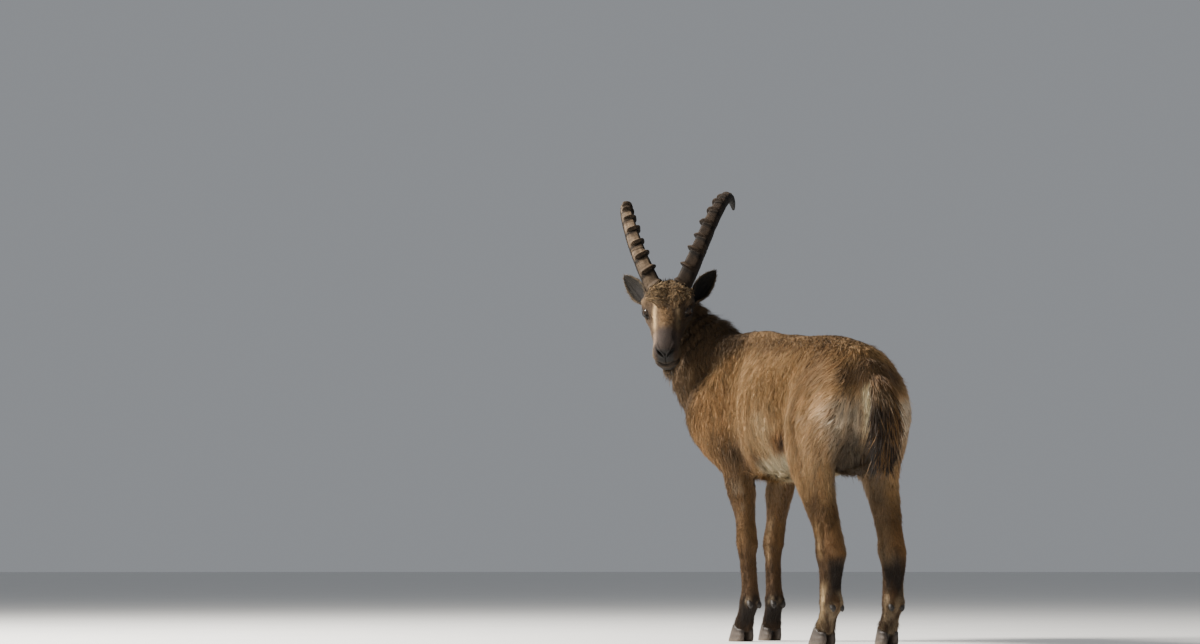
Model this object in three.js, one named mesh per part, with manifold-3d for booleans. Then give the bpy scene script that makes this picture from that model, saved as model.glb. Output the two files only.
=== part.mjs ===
// Alpine ibex, a young adult male, standing and looking back over its left shoulder.
// Millimetres, +X the way the body points, +Y its left side, +Z up, the floor at z = 0.
// Every fleshy part is a loft: rounded sections set along a smooth centreline. The sizes
// are those of the outside of the coat.
import * as THREE from "three";
import Module from "manifold-3d";

const wasm = await Module();
wasm.setup();

// ---------------------------------------------------------------- sizes and pose
const GAP = 0.35; // clear space between neighbouring pieces
const ORIGIN = [-122.11, -48.48, 0]; // moves the middle of the model's box to x = 0, y = 0
const HEAD_AT = [435, 146.5, 1029]; // above the back of the skull
const HEAD_HEADING = 148.75; // degrees: the head looks back at the viewer
const HEAD_PITCH = 45; // degrees below level
const HEAD_ROLL = 2.3; // degrees towards its right
const EYE = { n: 158, l: 57, t: -25, r: 16.5 };
const HORN_ARC = { left: 288, right: 270 }; // radius of each horn's curve
const HORN_TURN = 111.6; // degrees that a horn turns through
const HORN_START = 42.8; // degrees that its base leans forward
const HORN_SPREAD = [27.3, -3.5]; // degrees outward at the base and at the tip
const HORN_APART = 33; // from the middle of the forehead to the middle of a horn's base
const HORN_KNOBS = [0.03, 0.115, 0.205, 0.285, 0.375, 0.47, 0.56, 0.64, 0.72, 0.79];
const CLAW_TOP = 46; // height of the hair line above the hoof
const SKIN = new THREE.Color(0x8a6442);

// ---------------------------------------------------------------- sections
// Trunk: x, y, z of the widest level, half width, height above it, depth below it, and how
// square the upper and the lower half are (2 is an ellipse).
const TRUNK = [
  [-452, 0, 668, 60, 78, 98, 2.0, 2.0],
  [-420, 0, 662, 90, 112, 138, 2.0, 2.0],
  [-360, 0, 655, 116, 141, 190, 2.0, 2.1],
  [-285, 0, 645, 131, 167, 206, 2.0, 2.2],
  [-190, 0, 638, 136, 181, 206, 2.0, 2.2],
  [-90, 0, 628, 149, 194, 200, 2.0, 2.2],
  [10, 0, 622, 150, 204, 196, 1.95, 2.2],
  [100, 0, 622, 130, 214, 190, 1.85, 2.15],
  [180, 0, 630, 118, 218, 184, 1.75, 2.1],
  [250, 0, 645, 110, 206, 176, 1.8, 2.0],
  [310, 0, 655, 104, 180, 160, 1.9, 2.0],
  [358, 0, 655, 86, 122, 122, 2.0, 2.0],
];
// Neck: the same, then the direction of its upper edge.
const NECK = [
  [196, 0, 648, 104, 190, 165, 2.0, 2.0, -0.2, 0, 0.98],
  [290, 6, 692, 110, 167, 176, 2.0, 2.0, -0.3, 0, 0.95],
  [360, 26, 740, 108, 131, 168, 2.0, 2.0, -0.42, -0.05, 0.9],
  [408, 50, 797, 95, 97, 138, 2.0, 2.0, -0.5, -0.18, 0.83],
  [438, 78, 850, 84, 74, 108, 2.0, 2.0, -0.5, -0.36, 0.78],
  [450, 106, 904, 72, 60, 84, 2.0, 2.0, -0.45, -0.54, 0.7],
  [452, 130, 948, 64, 54, 66, 2.0, 2.0, -0.42, -0.66, 0.64],
];
// Head, in its own frame: n along the face, then the half width, the levels of the top,
// of the widest part and of the bottom, and how square the two halves are.
const HEAD = [
  [30, 46, -34, -66, -98, 2.0, 2.0],
  [56, 60, -8, -52, -124, 2.1, 1.8],
  [88, 70, 8, -36, -138, 2.3, 1.6],
  [118, 77, 14, -26, -144, 2.6, 1.4],
  [148, 74, 8, -28, -138, 2.5, 1.4],
  [180, 57, -4, -40, -124, 2.2, 1.6],
  [212, 45, -14, -50, -114, 2.1, 1.8],
  [242, 38, -20, -56, -116, 2.1, 1.9],
  [268, 36, -24, -60, -130, 2.2, 2.1],
  [288, 33, -32, -64, -122, 2.2, 2.2],
];
const TAIL = [
  [-434, 0, 702, 22, 16, 20, 2, 2],
  [-464, 0, 690, 27, 20, 22, 2, 2],
  [-494, 0, 660, 37, 24, 24, 2, 2],
  [-508, 0, 616, 45, 25, 26, 2, 2],
  [-510, 0, 568, 46, 22, 24, 2, 2],
  [-506, 0, 516, 36, 16, 18, 2, 2],
  [-502, 0, 474, 16, 9, 10, 2, 2],
];
// Legs: for each joint, the half width, the reach to the front and the reach to the back.
const FORE_SIZES = [
  [30, 50, 54],
  [50, 98, 86],
  [59, 116, 90],
  [57, 85, 73],
  [46, 55, 57],
  [40, 43, 40],
  [31, 33, 30],
  [31, 32, 30],
  [27, 28, 26],
  [24, 25, 25],
  [24.5, 25, 27],
  [27, 27, 31],
  [26, 25, 26],
  [28, 28, 29],
];
const HIND_SIZES = [
  [36, 70, 78],
  [62, 106, 118],
  [70, 120, 130],
  [67, 106, 114],
  [55, 80, 84],
  [43, 57, 52],
  [36, 44, 40],
  [36, 44, 46],
  [32, 40, 36],
  [29, 36, 28],
  [29, 35, 29],
  [30, 33, 33],
  [26, 26, 26],
  [28, 28, 29],
];
// Where the middles of those sections are, for each leg, and which way its foot turns.
const LEGS = {
  fore_left: {
    sizes: FORE_SIZES,
    turn: 4,
    at: [
      [242, 66, 748],
      [254, 90, 688],
      [258, 101, 622],
      [224, 93, 548],
      [182, 75, 482],
      [160, 64, 405],
      [149, 59, 330],
      [145, 57, 268],
      [142, 57, 230],
      [139, 55, 184],
      [137, 54, 142],
      [139, 54, 112],
      [155, 55, 78],
      [170, 56, 46],
    ],
  },
  fore_right: {
    sizes: FORE_SIZES,
    turn: -4,
    at: [
      [242, -66, 748],
      [256, -86, 688],
      [262, -94, 622],
      [230, -92, 548],
      [208, -86, 482],
      [212, -79, 405],
      [220, -73, 330],
      [226, -66, 268],
      [225, -64, 230],
      [222, -63, 184],
      [220, -63, 142],
      [219, -64, 112],
      [233, -66, 78],
      [244, -68, 46],
    ],
  },
  hind_left: {
    sizes: HIND_SIZES,
    turn: 9,
    at: [
      [-322, 64, 742],
      [-332, 80, 690],
      [-332, 94, 620],
      [-318, 100, 545],
      [-310, 100, 470],
      [-334, 97, 390],
      [-370, 93, 308],
      [-389, 92, 240],
      [-392, 92, 202],
      [-390, 92, 165],
      [-389, 92, 134],
      [-389, 92, 110],
      [-375, 93, 76],
      [-360, 94, 46],
    ],
  },
  hind_right: {
    sizes: HIND_SIZES,
    turn: -9,
    at: [
      [-320, -60, 742],
      [-330, -76, 690],
      [-328, -92, 620],
      [-312, -93, 545],
      [-304, -97, 470],
      [-330, -97, 390],
      [-366, -93, 308],
      [-388, -90, 240],
      [-391, -92, 202],
      [-388, -93, 165],
      [-386, -93, 134],
      [-385, -93, 110],
      [-369, -94, 76],
      [-354, -95, 46],
    ],
  },
};
// Ear, in the head's frame: along the ear, half width, half thickness.
const EAR_LENGTH = 116;
const EAR_SIZES = [
  [0, 17, 13],
  [0.12, 22, 11],
  [0.35, 27, 7],
  [0.6, 25.5, 5],
  [0.82, 17, 4],
  [0.96, 7, 2.6],
];

// ---------------------------------------------------------------- curves
// Value of a table of rows at t, 0 at its first row, by a Catmull-Rom spline through them.
function rowAt(rows, t) {
  const last = rows.length - 1;
  const i = Math.min(Math.max(Math.floor(t), 0), last - 1);
  const f = t - i;
  return rows[i].map((_, k) => {
    const b = rows[i][k];
    const c = rows[i + 1][k];
    const a = i > 0 ? rows[i - 1][k] : 2 * b - c;
    const d = i < last - 1 ? rows[i + 2][k] : 2 * c - b;
    return (
      b +
      0.5 * f * (c - a + f * (2 * a - 5 * b + 4 * c - d + f * (3 * (b - c) + d - a)))
    );
  });
}
const vec = (a) => new THREE.Vector3(a[0], a[1], a[2]);

// A closed loft through the rows, its ends rounded by rings drawn in by cap.
const CAP = [0.93, 0.72, 0.38];
function loft({ rows, up, sides, rings, grow = 0, round = [1, 1], cap = CAP }) {
  const last = rows.length - 1;
  const frame = (t) => {
    const r = rowAt(rows, t);
    const e = 0.02;
    const T = vec(rowAt(rows, Math.min(t + e, last)))
      .sub(vec(rowAt(rows, Math.max(t - e, 0))))
      .normalize();
    const given = up ? vec(up) : vec(r.slice(8, 11));
    const S = given.clone().cross(T).normalize();
    return { r, T, S, U: T.clone().cross(S).normalize() };
  };
  const position = [];
  const ring = (t, shrink, push) => {
    const { r, T, S, U } = frame(t);
    const [, , , w, u, d, nu, nd] = r;
    for (let k = 0; k < sides; k++) {
      const a = (2 * Math.PI * k) / sides;
      const c = Math.cos(a);
      const s = Math.sin(a);
      const power = 2 / (s >= 0 ? nu : nd);
      const across = (w + grow) * Math.sign(c) * Math.abs(c) ** power * shrink;
      const rise =
        ((s >= 0 ? u : d) + grow) * Math.sign(s) * Math.abs(s) ** power * shrink;
      const p = vec(r)
        .addScaledVector(S, across)
        .addScaledVector(U, rise)
        .addScaledVector(T, push);
      position.push(p.x, p.y, p.z);
    }
  };
  const size = (t) => {
    const r = rowAt(rows, t);
    return Math.min(r[3], (r[4] + r[5]) / 2) + grow;
  };
  if (round[0])
    for (const c of [...cap].reverse())
      ring(0, c, -round[0] * size(0) * Math.sqrt(1 - c * c));
  for (let i = 0; i < rings; i++) ring((last * i) / (rings - 1), 1, 0);
  if (round[1])
    for (const c of cap) ring(last, c, round[1] * size(last) * Math.sqrt(1 - c * c));
  const total = position.length / 3 / sides;
  for (const [t, end, sign] of [
    [0, round[0], -1],
    [last, round[1], 1],
  ]) {
    const { r, T } = frame(t);
    const p = vec(r).addScaledVector(T, sign * end * size(t));
    position.push(p.x, p.y, p.z);
  }
  const index = [];
  for (let j = 0; j < total - 1; j++)
    for (let k = 0; k < sides; k++) {
      const a = j * sides + k;
      const b = j * sides + ((k + 1) % sides);
      index.push(a, b, b + sides, a, b + sides, a + sides);
    }
  for (let k = 0; k < sides; k++) {
    const n = (k + 1) % sides;
    index.push(total * sides, n, k);
    index.push(total * sides + 1, (total - 1) * sides + k, (total - 1) * sides + n);
  }
  return new THREE.BufferGeometry()
    .setAttribute("position", new THREE.Float32BufferAttribute(position, 3))
    .setIndex(index);
}

// ---------------------------------------------------------------- solids
function solid(geometry) {
  const made = new wasm.Manifold(
    new wasm.Mesh({
      numProp: 3,
      vertProperties: new Float32Array(geometry.getAttribute("position").array),
      triVerts: new Uint32Array(geometry.index.array),
    }),
  );
  if (made.volume() < 0) throw new Error("a loft is inside out");
  return made;
}
const join = (list) => list.reduce((a, b) => a.add(b));
const cut = (a, list) => list.reduce((x, y) => x.subtract(y), a);

// A box with its face through point, reaching far along normal.
function halfSpace(point, normal, side = 3000) {
  const g = new THREE.BoxGeometry(side, side, side).translate(0, 0, side / 2);
  g.deleteAttribute("normal");
  g.deleteAttribute("uv");
  g.applyQuaternion(
    new THREE.Quaternion().setFromUnitVectors(
      new THREE.Vector3(0, 0, 1),
      vec(normal).normalize(),
    ),
  );
  g.translate(...point);
  return solid(weld(g));
}
function weld(g) {
  const seen = new Map();
  const p = g.getAttribute("position");
  const out = [];
  const index = [];
  const source = g.index ? [...g.index.array] : [...Array(p.count).keys()];
  for (const i of source) {
    const key = [p.getX(i), p.getY(i), p.getZ(i)].map((v) => Math.round(v * 1000)).join();
    if (!seen.has(key)) {
      seen.set(key, out.length / 3);
      out.push(p.getX(i), p.getY(i), p.getZ(i));
    }
    index.push(seen.get(key));
  }
  const faces = [];
  for (let i = 0; i < index.length; i += 3) {
    const [a, b, c] = index.slice(i, i + 3);
    if (a !== b && b !== c && c !== a) faces.push(a, b, c);
  }
  return new THREE.BufferGeometry()
    .setAttribute("position", new THREE.Float32BufferAttribute(out, 3))
    .setIndex(faces);
}

// ---------------------------------------------------------------- the head's frame
const heading = THREE.MathUtils.degToRad(HEAD_HEADING);
const pitch = THREE.MathUtils.degToRad(HEAD_PITCH);
const NOSE = new THREE.Vector3(
  Math.cos(pitch) * Math.cos(heading),
  Math.cos(pitch) * Math.sin(heading),
  -Math.sin(pitch),
);
const LEFT = new THREE.Vector3(-Math.sin(heading), Math.cos(heading), 0).applyAxisAngle(
  NOSE,
  THREE.MathUtils.degToRad(HEAD_ROLL),
);
const CROWN = NOSE.clone().cross(LEFT);
const inHead = (n, l, t) =>
  vec(HEAD_AT)
    .addScaledVector(NOSE, n)
    .addScaledVector(LEFT, l)
    .addScaledVector(CROWN, t);
const headDirection = (n, l, t) =>
  new THREE.Vector3()
    .addScaledVector(NOSE, n)
    .addScaledVector(LEFT, l)
    .addScaledVector(CROWN, t)
    .normalize();

function headSolid(grow) {
  const rows = HEAD.map(([n, w, top, level, bottom, nu, nd]) => [
    ...inHead(n, 0, level).toArray(),
    w,
    top - level,
    level - bottom,
    nu,
    nd,
  ]);
  return solid(
    loft({ rows, up: CROWN.toArray(), sides: 18, rings: 14, grow, round: [0.5, 0.4] }),
  );
}

// ---------------------------------------------------------------- horns
// Knobs stand on the front face, lower towards the tip.
function knob(s) {
  let high = 0;
  for (const at of HORN_KNOBS) {
    const away = (s - at) / 0.017;
    high = Math.max(high, Math.exp(-away * away) * (1 - 0.55 * at));
  }
  return high;
}
// Places of the rings: three for each knob.
const HORN_RINGS = [0, ...HORN_KNOBS.flatMap((s) => [s - 0.02, s, s + 0.02]), 0.9, 0.96, 1]
  .map((s) => Math.max(s, 0))
  .filter((s, i, all) => i === 0 || s > all[i - 1] + 0.006);
function horn(side, grow) {
  const rows = [];
  const steps = 88;
  const axis = headDirection(-1, 0, 0);
  const rise = headDirection(0, 0, 1);
  const out = headDirection(0, side, 0);
  const p = inHead(84, side * HORN_APART, -14);
  const arc = side > 0 ? HORN_ARC.left : HORN_ARC.right;
  const length = arc * THREE.MathUtils.degToRad(HORN_TURN);
  const path = [];
  for (let i = 0; i <= steps; i++) {
    const s = i / steps;
    const turned = THREE.MathUtils.degToRad(HORN_START - HORN_TURN * s ** 1.08);
    const spread = THREE.MathUtils.degToRad(
      HORN_SPREAD[0] + (HORN_SPREAD[1] - HORN_SPREAD[0]) * s,
    );
    const front = new THREE.Vector3()
      .addScaledVector(axis, -Math.sin(turned))
      .addScaledVector(rise, Math.cos(turned));
    path.push([...p.toArray(), ...front.toArray()]);
    const dir = new THREE.Vector3()
      .addScaledVector(axis, Math.cos(turned) * Math.cos(spread))
      .addScaledVector(rise, Math.sin(turned) * Math.cos(spread))
      .addScaledVector(out, Math.sin(spread));
    p.addScaledVector(dir, length / steps);
  }
  for (const s of HORN_RINGS) {
    const at = rowAt(path, s * steps);
    const thin = Math.max(1 - s, 0) ** 0.55;
    rows.push([
      ...at.slice(0, 3),
      3.5 + 21.5 * thin + 2.2 * knob(s),
      3.5 + 23 * thin + 7.5 * knob(s),
      3.5 + 25 * thin,
      2.9,
      2.0,
      ...at.slice(3),
    ]);
  }
  return solid(loft({ rows, sides: 8, rings: rows.length, grow, round: [0, 1] }));
}

// ---------------------------------------------------------------- ears
function ear(side, grow) {
  const root = inHead(84, side * 70, -46);
  const along = headDirection(-0.86, side * 0.48, 0.13);
  const face = headDirection(0.5, side * 0.45, 0.74); // the way the open side looks
  const rows = EAR_SIZES.map(([s, w, thick]) => {
    const bend = 10 * Math.sin(Math.PI * s);
    const p = root
      .clone()
      .addScaledVector(along, s * EAR_LENGTH)
      .addScaledVector(face, -bend);
    return [...p.toArray(), w, thick, thick + 2, 2, 2];
  });
  return solid(
    loft({ rows, up: face.toArray(), sides: 8, rings: 8, grow, round: [0.4, 1], cap: [0.8, 0.4] }),
  );
}

// ---------------------------------------------------------------- legs and hooves
const ahead = (leg) => {
  const turn = THREE.MathUtils.degToRad(leg.turn);
  return [Math.cos(turn), Math.sin(turn), 0];
};
// A leg runs a little way past the hair line, where the claws are cut from it.
function legSolid(leg, grow) {
  const rows = leg.at.map((p, i) => [...p, ...leg.sizes[i], 2.1, 2.1]);
  const [before, end] = rows.slice(-2);
  rows.push(end.map((v, i) => (i < 3 ? v + 0.8 * (v - before[i]) : v)));
  return solid(
    loft({ rows, up: ahead(leg), sides: 10, rings: 21, grow, round: [0.8, 0], cap: [0.8, 0.4] }),
  );
}
// Points of a foot: so far ahead of the leg's end, and so far to its left.
function footPoint(leg, i, forward, left, z) {
  const [x, y] = leg.at[i];
  const [c, s] = ahead(leg);
  return [x + c * forward - s * left, y + s * forward + c * left, z];
}
// A claw: half of the cloven hoof, flat below, its wall sloping forward to the toe.
function claw(leg, side) {
  const low = (forward, z) => footPoint(leg, 13, forward, side * 14.6, z);
  const rows = [
    [...low(17, -14), 13.4, 39, 33, 2.2, 2.6],
    [...low(14, 7), 14, 38, 32, 2.2, 2.6],
    [...low(8, 26), 13.8, 32, 30, 2.1, 2.3],
    [...low(-1, 56), 12.4, 25, 26, 2.1, 2.1],
  ];
  return solid(loft({ rows, up: ahead(leg), sides: 10, rings: 4, round: [0, 0] }))
    .intersect(halfSpace([0, 0, 0], [0, 0, 1]))
    .intersect(halfSpace([0, 0, CLAW_TOP - GAP], [0, 0, -1]));
}
function dewClaw(leg, side) {
  const z = leg.at[11][2];
  const rows = [
    [...footPoint(leg, 11, -14, side * 12, z - 2), 8, 8, 8, 2, 2],
    [...footPoint(leg, 11, -27, side * 14, z - 10), 9, 8, 8, 2, 2],
    [...footPoint(leg, 11, -36, side * 15, z - 24), 5, 5, 5, 2, 2],
  ];
  const options = { rows, up: [0, 1, 0], sides: 6, rings: 3 };
  return solid(loft({ ...options, round: [0.6, 0.8], cap: [0.6] }));
}

// ---------------------------------------------------------------- build
const up = [0, 0, 1];
const trunkLoft = (grow) =>
  solid(loft({ rows: TRUNK, up, sides: 20, rings: 13, grow, round: [0.5, 0.45] }));
const neckLoft = (grow) =>
  solid(loft({ rows: NECK, sides: 16, rings: 12, grow, round: [0.6, 0.5], cap: [0.7] }));
const tailLoft = (grow) =>
  solid(
    loft({ rows: TAIL, up: [-1, 0, 0.1], sides: 10, rings: 10, grow, round: [0.6, 1], cap: [0.8, 0.4] }),
  );

const nodes = {};
const colour = {};
const place = (name, made, c, roughness = 0.9) => {
  nodes[name] = made;
  colour[name] = [c, roughness];
};

const legGrown = Object.values(LEGS).map((leg) => legSolid(leg, GAP));
const eyes = [1, -1].map((side) => {
  const at = inHead(EYE.n, side * EYE.l, EYE.t);
  const ball = (r) => {
    const g = new THREE.SphereGeometry(r, 10, 7);
    return solid(weld(g)).translate([at.x, at.y, at.z]);
  };
  return { ball: ball(EYE.r), socket: ball(EYE.r + GAP) };
});
const ears = [1, -1].map((side) => ({ piece: ear(side, 0), grown: ear(side, GAP) }));
const horns = [1, -1].map((side) => ({ piece: horn(side, 0), grown: horn(side, GAP) }));

// The head has pockets for its eyes, ears and horns, each open to the outside.
const skull = headSolid(0);
place(
  "head",
  cut(skull, [
    ...eyes.map((e) => e.socket),
    ...ears.map((e) => e.grown),
    ...horns.map((h) => h.grown),
  ]),
  SKIN,
);
const skullGrown = headSolid(GAP);
[1, -1].forEach((side, i) => {
  const name = side > 0 ? "left" : "right";
  place("eye_" + name, eyes[i].ball, new THREE.Color(0x5a4022), 0.2);
  place("ear_" + name, ears[i].piece, SKIN);
  place("horn_" + name, horns[i].piece, new THREE.Color(0x3b322a), 0.7);
});

// Neck and trunk meet at a slanting cut in front of the shoulders.
const NECK_CUT = [318, 0, 720];
const NECK_NORMAL = [0.82, 0.05, 0.57];
const beyond = vec(NECK_CUT).addScaledVector(vec(NECK_NORMAL).normalize(), GAP);
const inFront = halfSpace(beyond.toArray(), NECK_NORMAL);
const behind = halfSpace(
  NECK_CUT,
  NECK_NORMAL.map((v) => -v),
);
const core = join([trunkLoft(0), neckLoft(0)]);
place(
  "neck",
  cut(core.intersect(inFront), [
    skullGrown,
    ...legGrown,
    ...eyes.map((e) => e.socket),
    ...ears.map((e) => e.grown),
    ...horns.map((h) => h.grown),
  ]),
  SKIN,
);
place("trunk", cut(core.intersect(behind), [...legGrown, tailLoft(GAP)]), SKIN);
place("tail", tailLoft(0), new THREE.Color(0x2e2119));

for (const [name, leg] of Object.entries(LEGS)) {
  const whole = join([legSolid(leg, 0), dewClaw(leg, 1), dewClaw(leg, -1)]);
  const joint = leg.at[7]; // carpus or hock
  const above = halfSpace([0, 0, joint[2] + GAP], [0, 0, 1]);
  const below = halfSpace([0, 0, joint[2]], [0, 0, -1]);
  const clear = halfSpace([0, 0, CLAW_TOP], [0, 0, 1]);
  const side = Math.sign(joint[1]);
  const ownSide = halfSpace([0, side * GAP, 0], [0, side, 0]);
  const fore = name.startsWith("fore");
  place(
    name + (fore ? "_upper" : "_thigh"),
    whole.intersect(above).intersect(ownSide),
    SKIN,
  );
  place(name + "_cannon", whole.intersect(below).intersect(clear), SKIN);
  place(name + "_claw_a", claw(leg, 1), new THREE.Color(0x2a2622), 0.6);
  place(name + "_claw_b", claw(leg, -1), new THREE.Color(0x2a2622), 0.6);
}

const ibex = new THREE.Group();
for (const [name, made] of Object.entries(nodes)) {
  const bodies = made.decompose().sort((a, b) => b.volume() - a.volume());
  const mesh = bodies[0].getMesh();
  const position = new Float32Array(mesh.numVert * 3);
  for (let i = 0; i < mesh.numVert; i++)
    for (let k = 0; k < 3; k++)
      position[3 * i + k] = mesh.vertProperties[mesh.numProp * i + k];
  const geometry = new THREE.BufferGeometry()
    .setAttribute("position", new THREE.BufferAttribute(position, 3))
    .setIndex(new THREE.BufferAttribute(new Uint32Array(mesh.triVerts), 1));
  geometry.computeVertexNormals();
  const [c, roughness] = colour[name];
  const piece = new THREE.Mesh(
    geometry,
    new THREE.MeshStandardMaterial({ color: c, roughness, metalness: 0 }),
  );
  piece.name = name;
  ibex.add(piece);
}
ibex.position.set(...ORIGIN);

export default ibex;
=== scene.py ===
"""Looks of the alpine ibex: one skin, a coat of tufts, ridged horns, eyes and hooves."""

import math

import bmesh
import bpy
import numpy as np
from mathutils import Matrix, Vector, kdtree


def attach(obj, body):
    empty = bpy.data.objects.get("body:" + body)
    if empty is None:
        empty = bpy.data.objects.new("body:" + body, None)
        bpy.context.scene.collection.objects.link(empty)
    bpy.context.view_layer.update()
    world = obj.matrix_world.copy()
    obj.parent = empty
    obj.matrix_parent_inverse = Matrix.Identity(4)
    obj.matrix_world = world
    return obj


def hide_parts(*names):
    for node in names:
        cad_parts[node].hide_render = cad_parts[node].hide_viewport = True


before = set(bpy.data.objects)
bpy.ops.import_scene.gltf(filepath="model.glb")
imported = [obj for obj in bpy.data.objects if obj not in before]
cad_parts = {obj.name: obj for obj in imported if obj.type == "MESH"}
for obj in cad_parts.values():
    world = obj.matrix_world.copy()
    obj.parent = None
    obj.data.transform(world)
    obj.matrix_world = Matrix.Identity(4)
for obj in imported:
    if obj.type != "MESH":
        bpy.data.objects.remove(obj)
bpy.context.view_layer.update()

rng = np.random.default_rng(11)

# ---------------------------------------------------------------- sizes, in millimetres
# The body's own axes: +X the way it points, +Y its left, +Z up. ORIGIN moves all of it.
ORIGIN = np.array([-122.11, -48.48, 0.0])
HEAD_AT = np.array([435, 146.5, 1029.0])
HEAD_HEADING, HEAD_PITCH, HEAD_ROLL = 148.75, 45.0, 2.3
EYE = dict(n=158.0, l=57.0, t=-25.0, r=16.5)
HORN_ARC = {1: 288.0, -1: 270.0}
HORN_TURN, HORN_START, HORN_SPREAD, HORN_APART = 111.6, 42.8, (27.3, -3.5), 33.0
HORN_KNOBS = [0.03, 0.115, 0.205, 0.285, 0.375, 0.47, 0.56, 0.64, 0.72, 0.79]
CLAW_TOP = 46.0

# x, y, z, half width, height, depth, squareness above and below, coat depth
TRUNK = [
    [-452, 0, 668, 60, 78, 98, 2.0, 2.0, 13],
    [-420, 0, 662, 90, 112, 138, 2.0, 2.0, 13],
    [-360, 0, 655, 116, 141, 190, 2.0, 2.1, 13],
    [-285, 0, 645, 131, 167, 206, 2.0, 2.2, 13],
    [-190, 0, 638, 136, 181, 206, 2.0, 2.2, 13],
    [-90, 0, 628, 149, 194, 200, 2.0, 2.2, 13],
    [10, 0, 622, 148, 204, 196, 1.95, 2.2, 13],
    [100, 0, 622, 126, 214, 190, 1.85, 2.15, 13],
    [180, 0, 630, 114, 218, 184, 1.75, 2.1, 13],
    [250, 0, 645, 108, 206, 176, 1.8, 2.0, 14],
    [310, 0, 655, 104, 180, 160, 1.9, 2.0, 14],
    [358, 0, 655, 86, 122, 122, 2.0, 2.0, 14],
]
# the same, with the direction of the upper edge before the coat depth
NECK = [
    [196, 0, 648, 104, 190, 165, 2.0, 2.0, -0.2, 0, 0.98, 14],
    [290, 6, 692, 110, 167, 176, 2.0, 2.0, -0.3, 0, 0.95, 14],
    [360, 26, 740, 108, 131, 168, 2.0, 2.0, -0.42, -0.05, 0.9, 15],
    [408, 50, 797, 95, 97, 138, 2.0, 2.0, -0.5, -0.18, 0.83, 15],
    [438, 78, 850, 84, 74, 108, 2.0, 2.0, -0.5, -0.36, 0.78, 14],
    [450, 106, 904, 72, 60, 84, 2.0, 2.0, -0.45, -0.54, 0.7, 12],
    [452, 130, 948, 64, 54, 66, 2.0, 2.0, -0.42, -0.66, 0.64, 10],
]
# n along the face, half width, levels of the top, the widest part and the bottom
HEAD = [
    [30, 46, -34, -66, -98, 2.0, 2.0, 7],
    [56, 60, -8, -52, -124, 2.1, 1.8, 6],
    [88, 70, 8, -36, -138, 2.3, 1.6, 5],
    [118, 77, 14, -26, -144, 2.6, 1.4, 4.5],
    [148, 74, 8, -28, -138, 2.5, 1.4, 4],
    [180, 57, -4, -40, -124, 2.2, 1.6, 3.5],
    [212, 45, -14, -50, -114, 2.1, 1.8, 3],
    [242, 38, -20, -56, -116, 2.1, 1.9, 2.5],
    [268, 36, -24, -60, -130, 2.2, 2.1, 2.5],
    [288, 33, -32, -64, -122, 2.2, 2.2, 2.5],
]
TAIL = [
    [-434, 0, 702, 22, 16, 20, 2, 2, 4],
    [-464, 0, 690, 27, 20, 22, 2, 2, 8],
    [-494, 0, 660, 37, 24, 24, 2, 2, 11],
    [-508, 0, 616, 45, 25, 26, 2, 2, 14],
    [-510, 0, 568, 46, 22, 24, 2, 2, 13],
    [-506, 0, 516, 36, 16, 18, 2, 2, 9.5],
    [-502, 0, 474, 16, 9, 10, 2, 2, 5],
]
FORE_SIZES = [
    [30, 50, 54, 12],
    [50, 98, 86, 13],
    [59, 116, 90, 13],
    [57, 85, 73, 12],
    [46, 55, 57, 10],
    [40, 43, 40, 8],
    [31, 33, 30, 5.5],
    [31, 32, 30, 5],
    [27, 28, 26, 4.5],
    [24, 25, 25, 4],
    [24.5, 25, 27, 4],
    [27, 27, 31, 4.5],
    [26, 25, 26, 5],
    [28, 28, 29, 4.5],
]
HIND_SIZES = [
    [36, 70, 78, 13],
    [62, 106, 118, 13],
    [70, 120, 130, 14],
    [67, 106, 114, 13],
    [55, 80, 84, 11],
    [43, 57, 52, 8],
    [36, 44, 40, 6],
    [36, 44, 46, 5],
    [32, 40, 36, 4.5],
    [29, 36, 28, 4],
    [29, 35, 29, 4],
    [30, 33, 33, 4.5],
    [26, 26, 26, 5],
    [28, 28, 29, 4.5],
]
LEGS = {
    "fore_left": (FORE_SIZES, 4, [[242, 66, 748], [254, 90, 688], [258, 101, 622], [224, 93, 548], [182, 75, 482], [160, 64, 405], [149, 59, 330], [145, 57, 268], [142, 57, 230], [139, 55, 184], [137, 54, 142], [139, 54, 112], [155, 55, 78], [170, 56, 46]]),
    "fore_right": (FORE_SIZES, -4, [[242, -66, 748], [256, -86, 688], [262, -94, 622], [230, -92, 548], [208, -86, 482], [212, -79, 405], [220, -73, 330], [226, -66, 268], [225, -64, 230], [222, -63, 184], [220, -63, 142], [219, -64, 112], [233, -66, 78], [244, -68, 46]]),
    "hind_left": (HIND_SIZES, 9, [[-322, 64, 742], [-332, 80, 690], [-332, 94, 620], [-318, 100, 545], [-310, 100, 470], [-334, 97, 390], [-370, 93, 308], [-389, 92, 240], [-392, 92, 202], [-390, 92, 165], [-389, 92, 134], [-389, 92, 110], [-375, 93, 76], [-360, 94, 46]]),
    "hind_right": (HIND_SIZES, -9, [[-320, -60, 742], [-330, -76, 690], [-328, -92, 620], [-312, -93, 545], [-304, -97, 470], [-330, -97, 390], [-366, -93, 308], [-388, -90, 240], [-391, -92, 202], [-388, -93, 165], [-386, -93, 134], [-385, -93, 110], [-369, -94, 76], [-354, -95, 46]]),
}
EAR_LENGTH = 116.0
EAR_SIZES = [[0, 17, 13], [0.12, 22, 11], [0.35, 27, 7], [0.6, 25.5, 5], [0.82, 17, 4], [0.96, 7, 2.6], [1.0, 2.0, 1.5]]


# ---------------------------------------------------------------- small helpers
def unit(v):
    return v / np.maximum(np.linalg.norm(v, axis=-1, keepdims=True), 1e-12)


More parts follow.
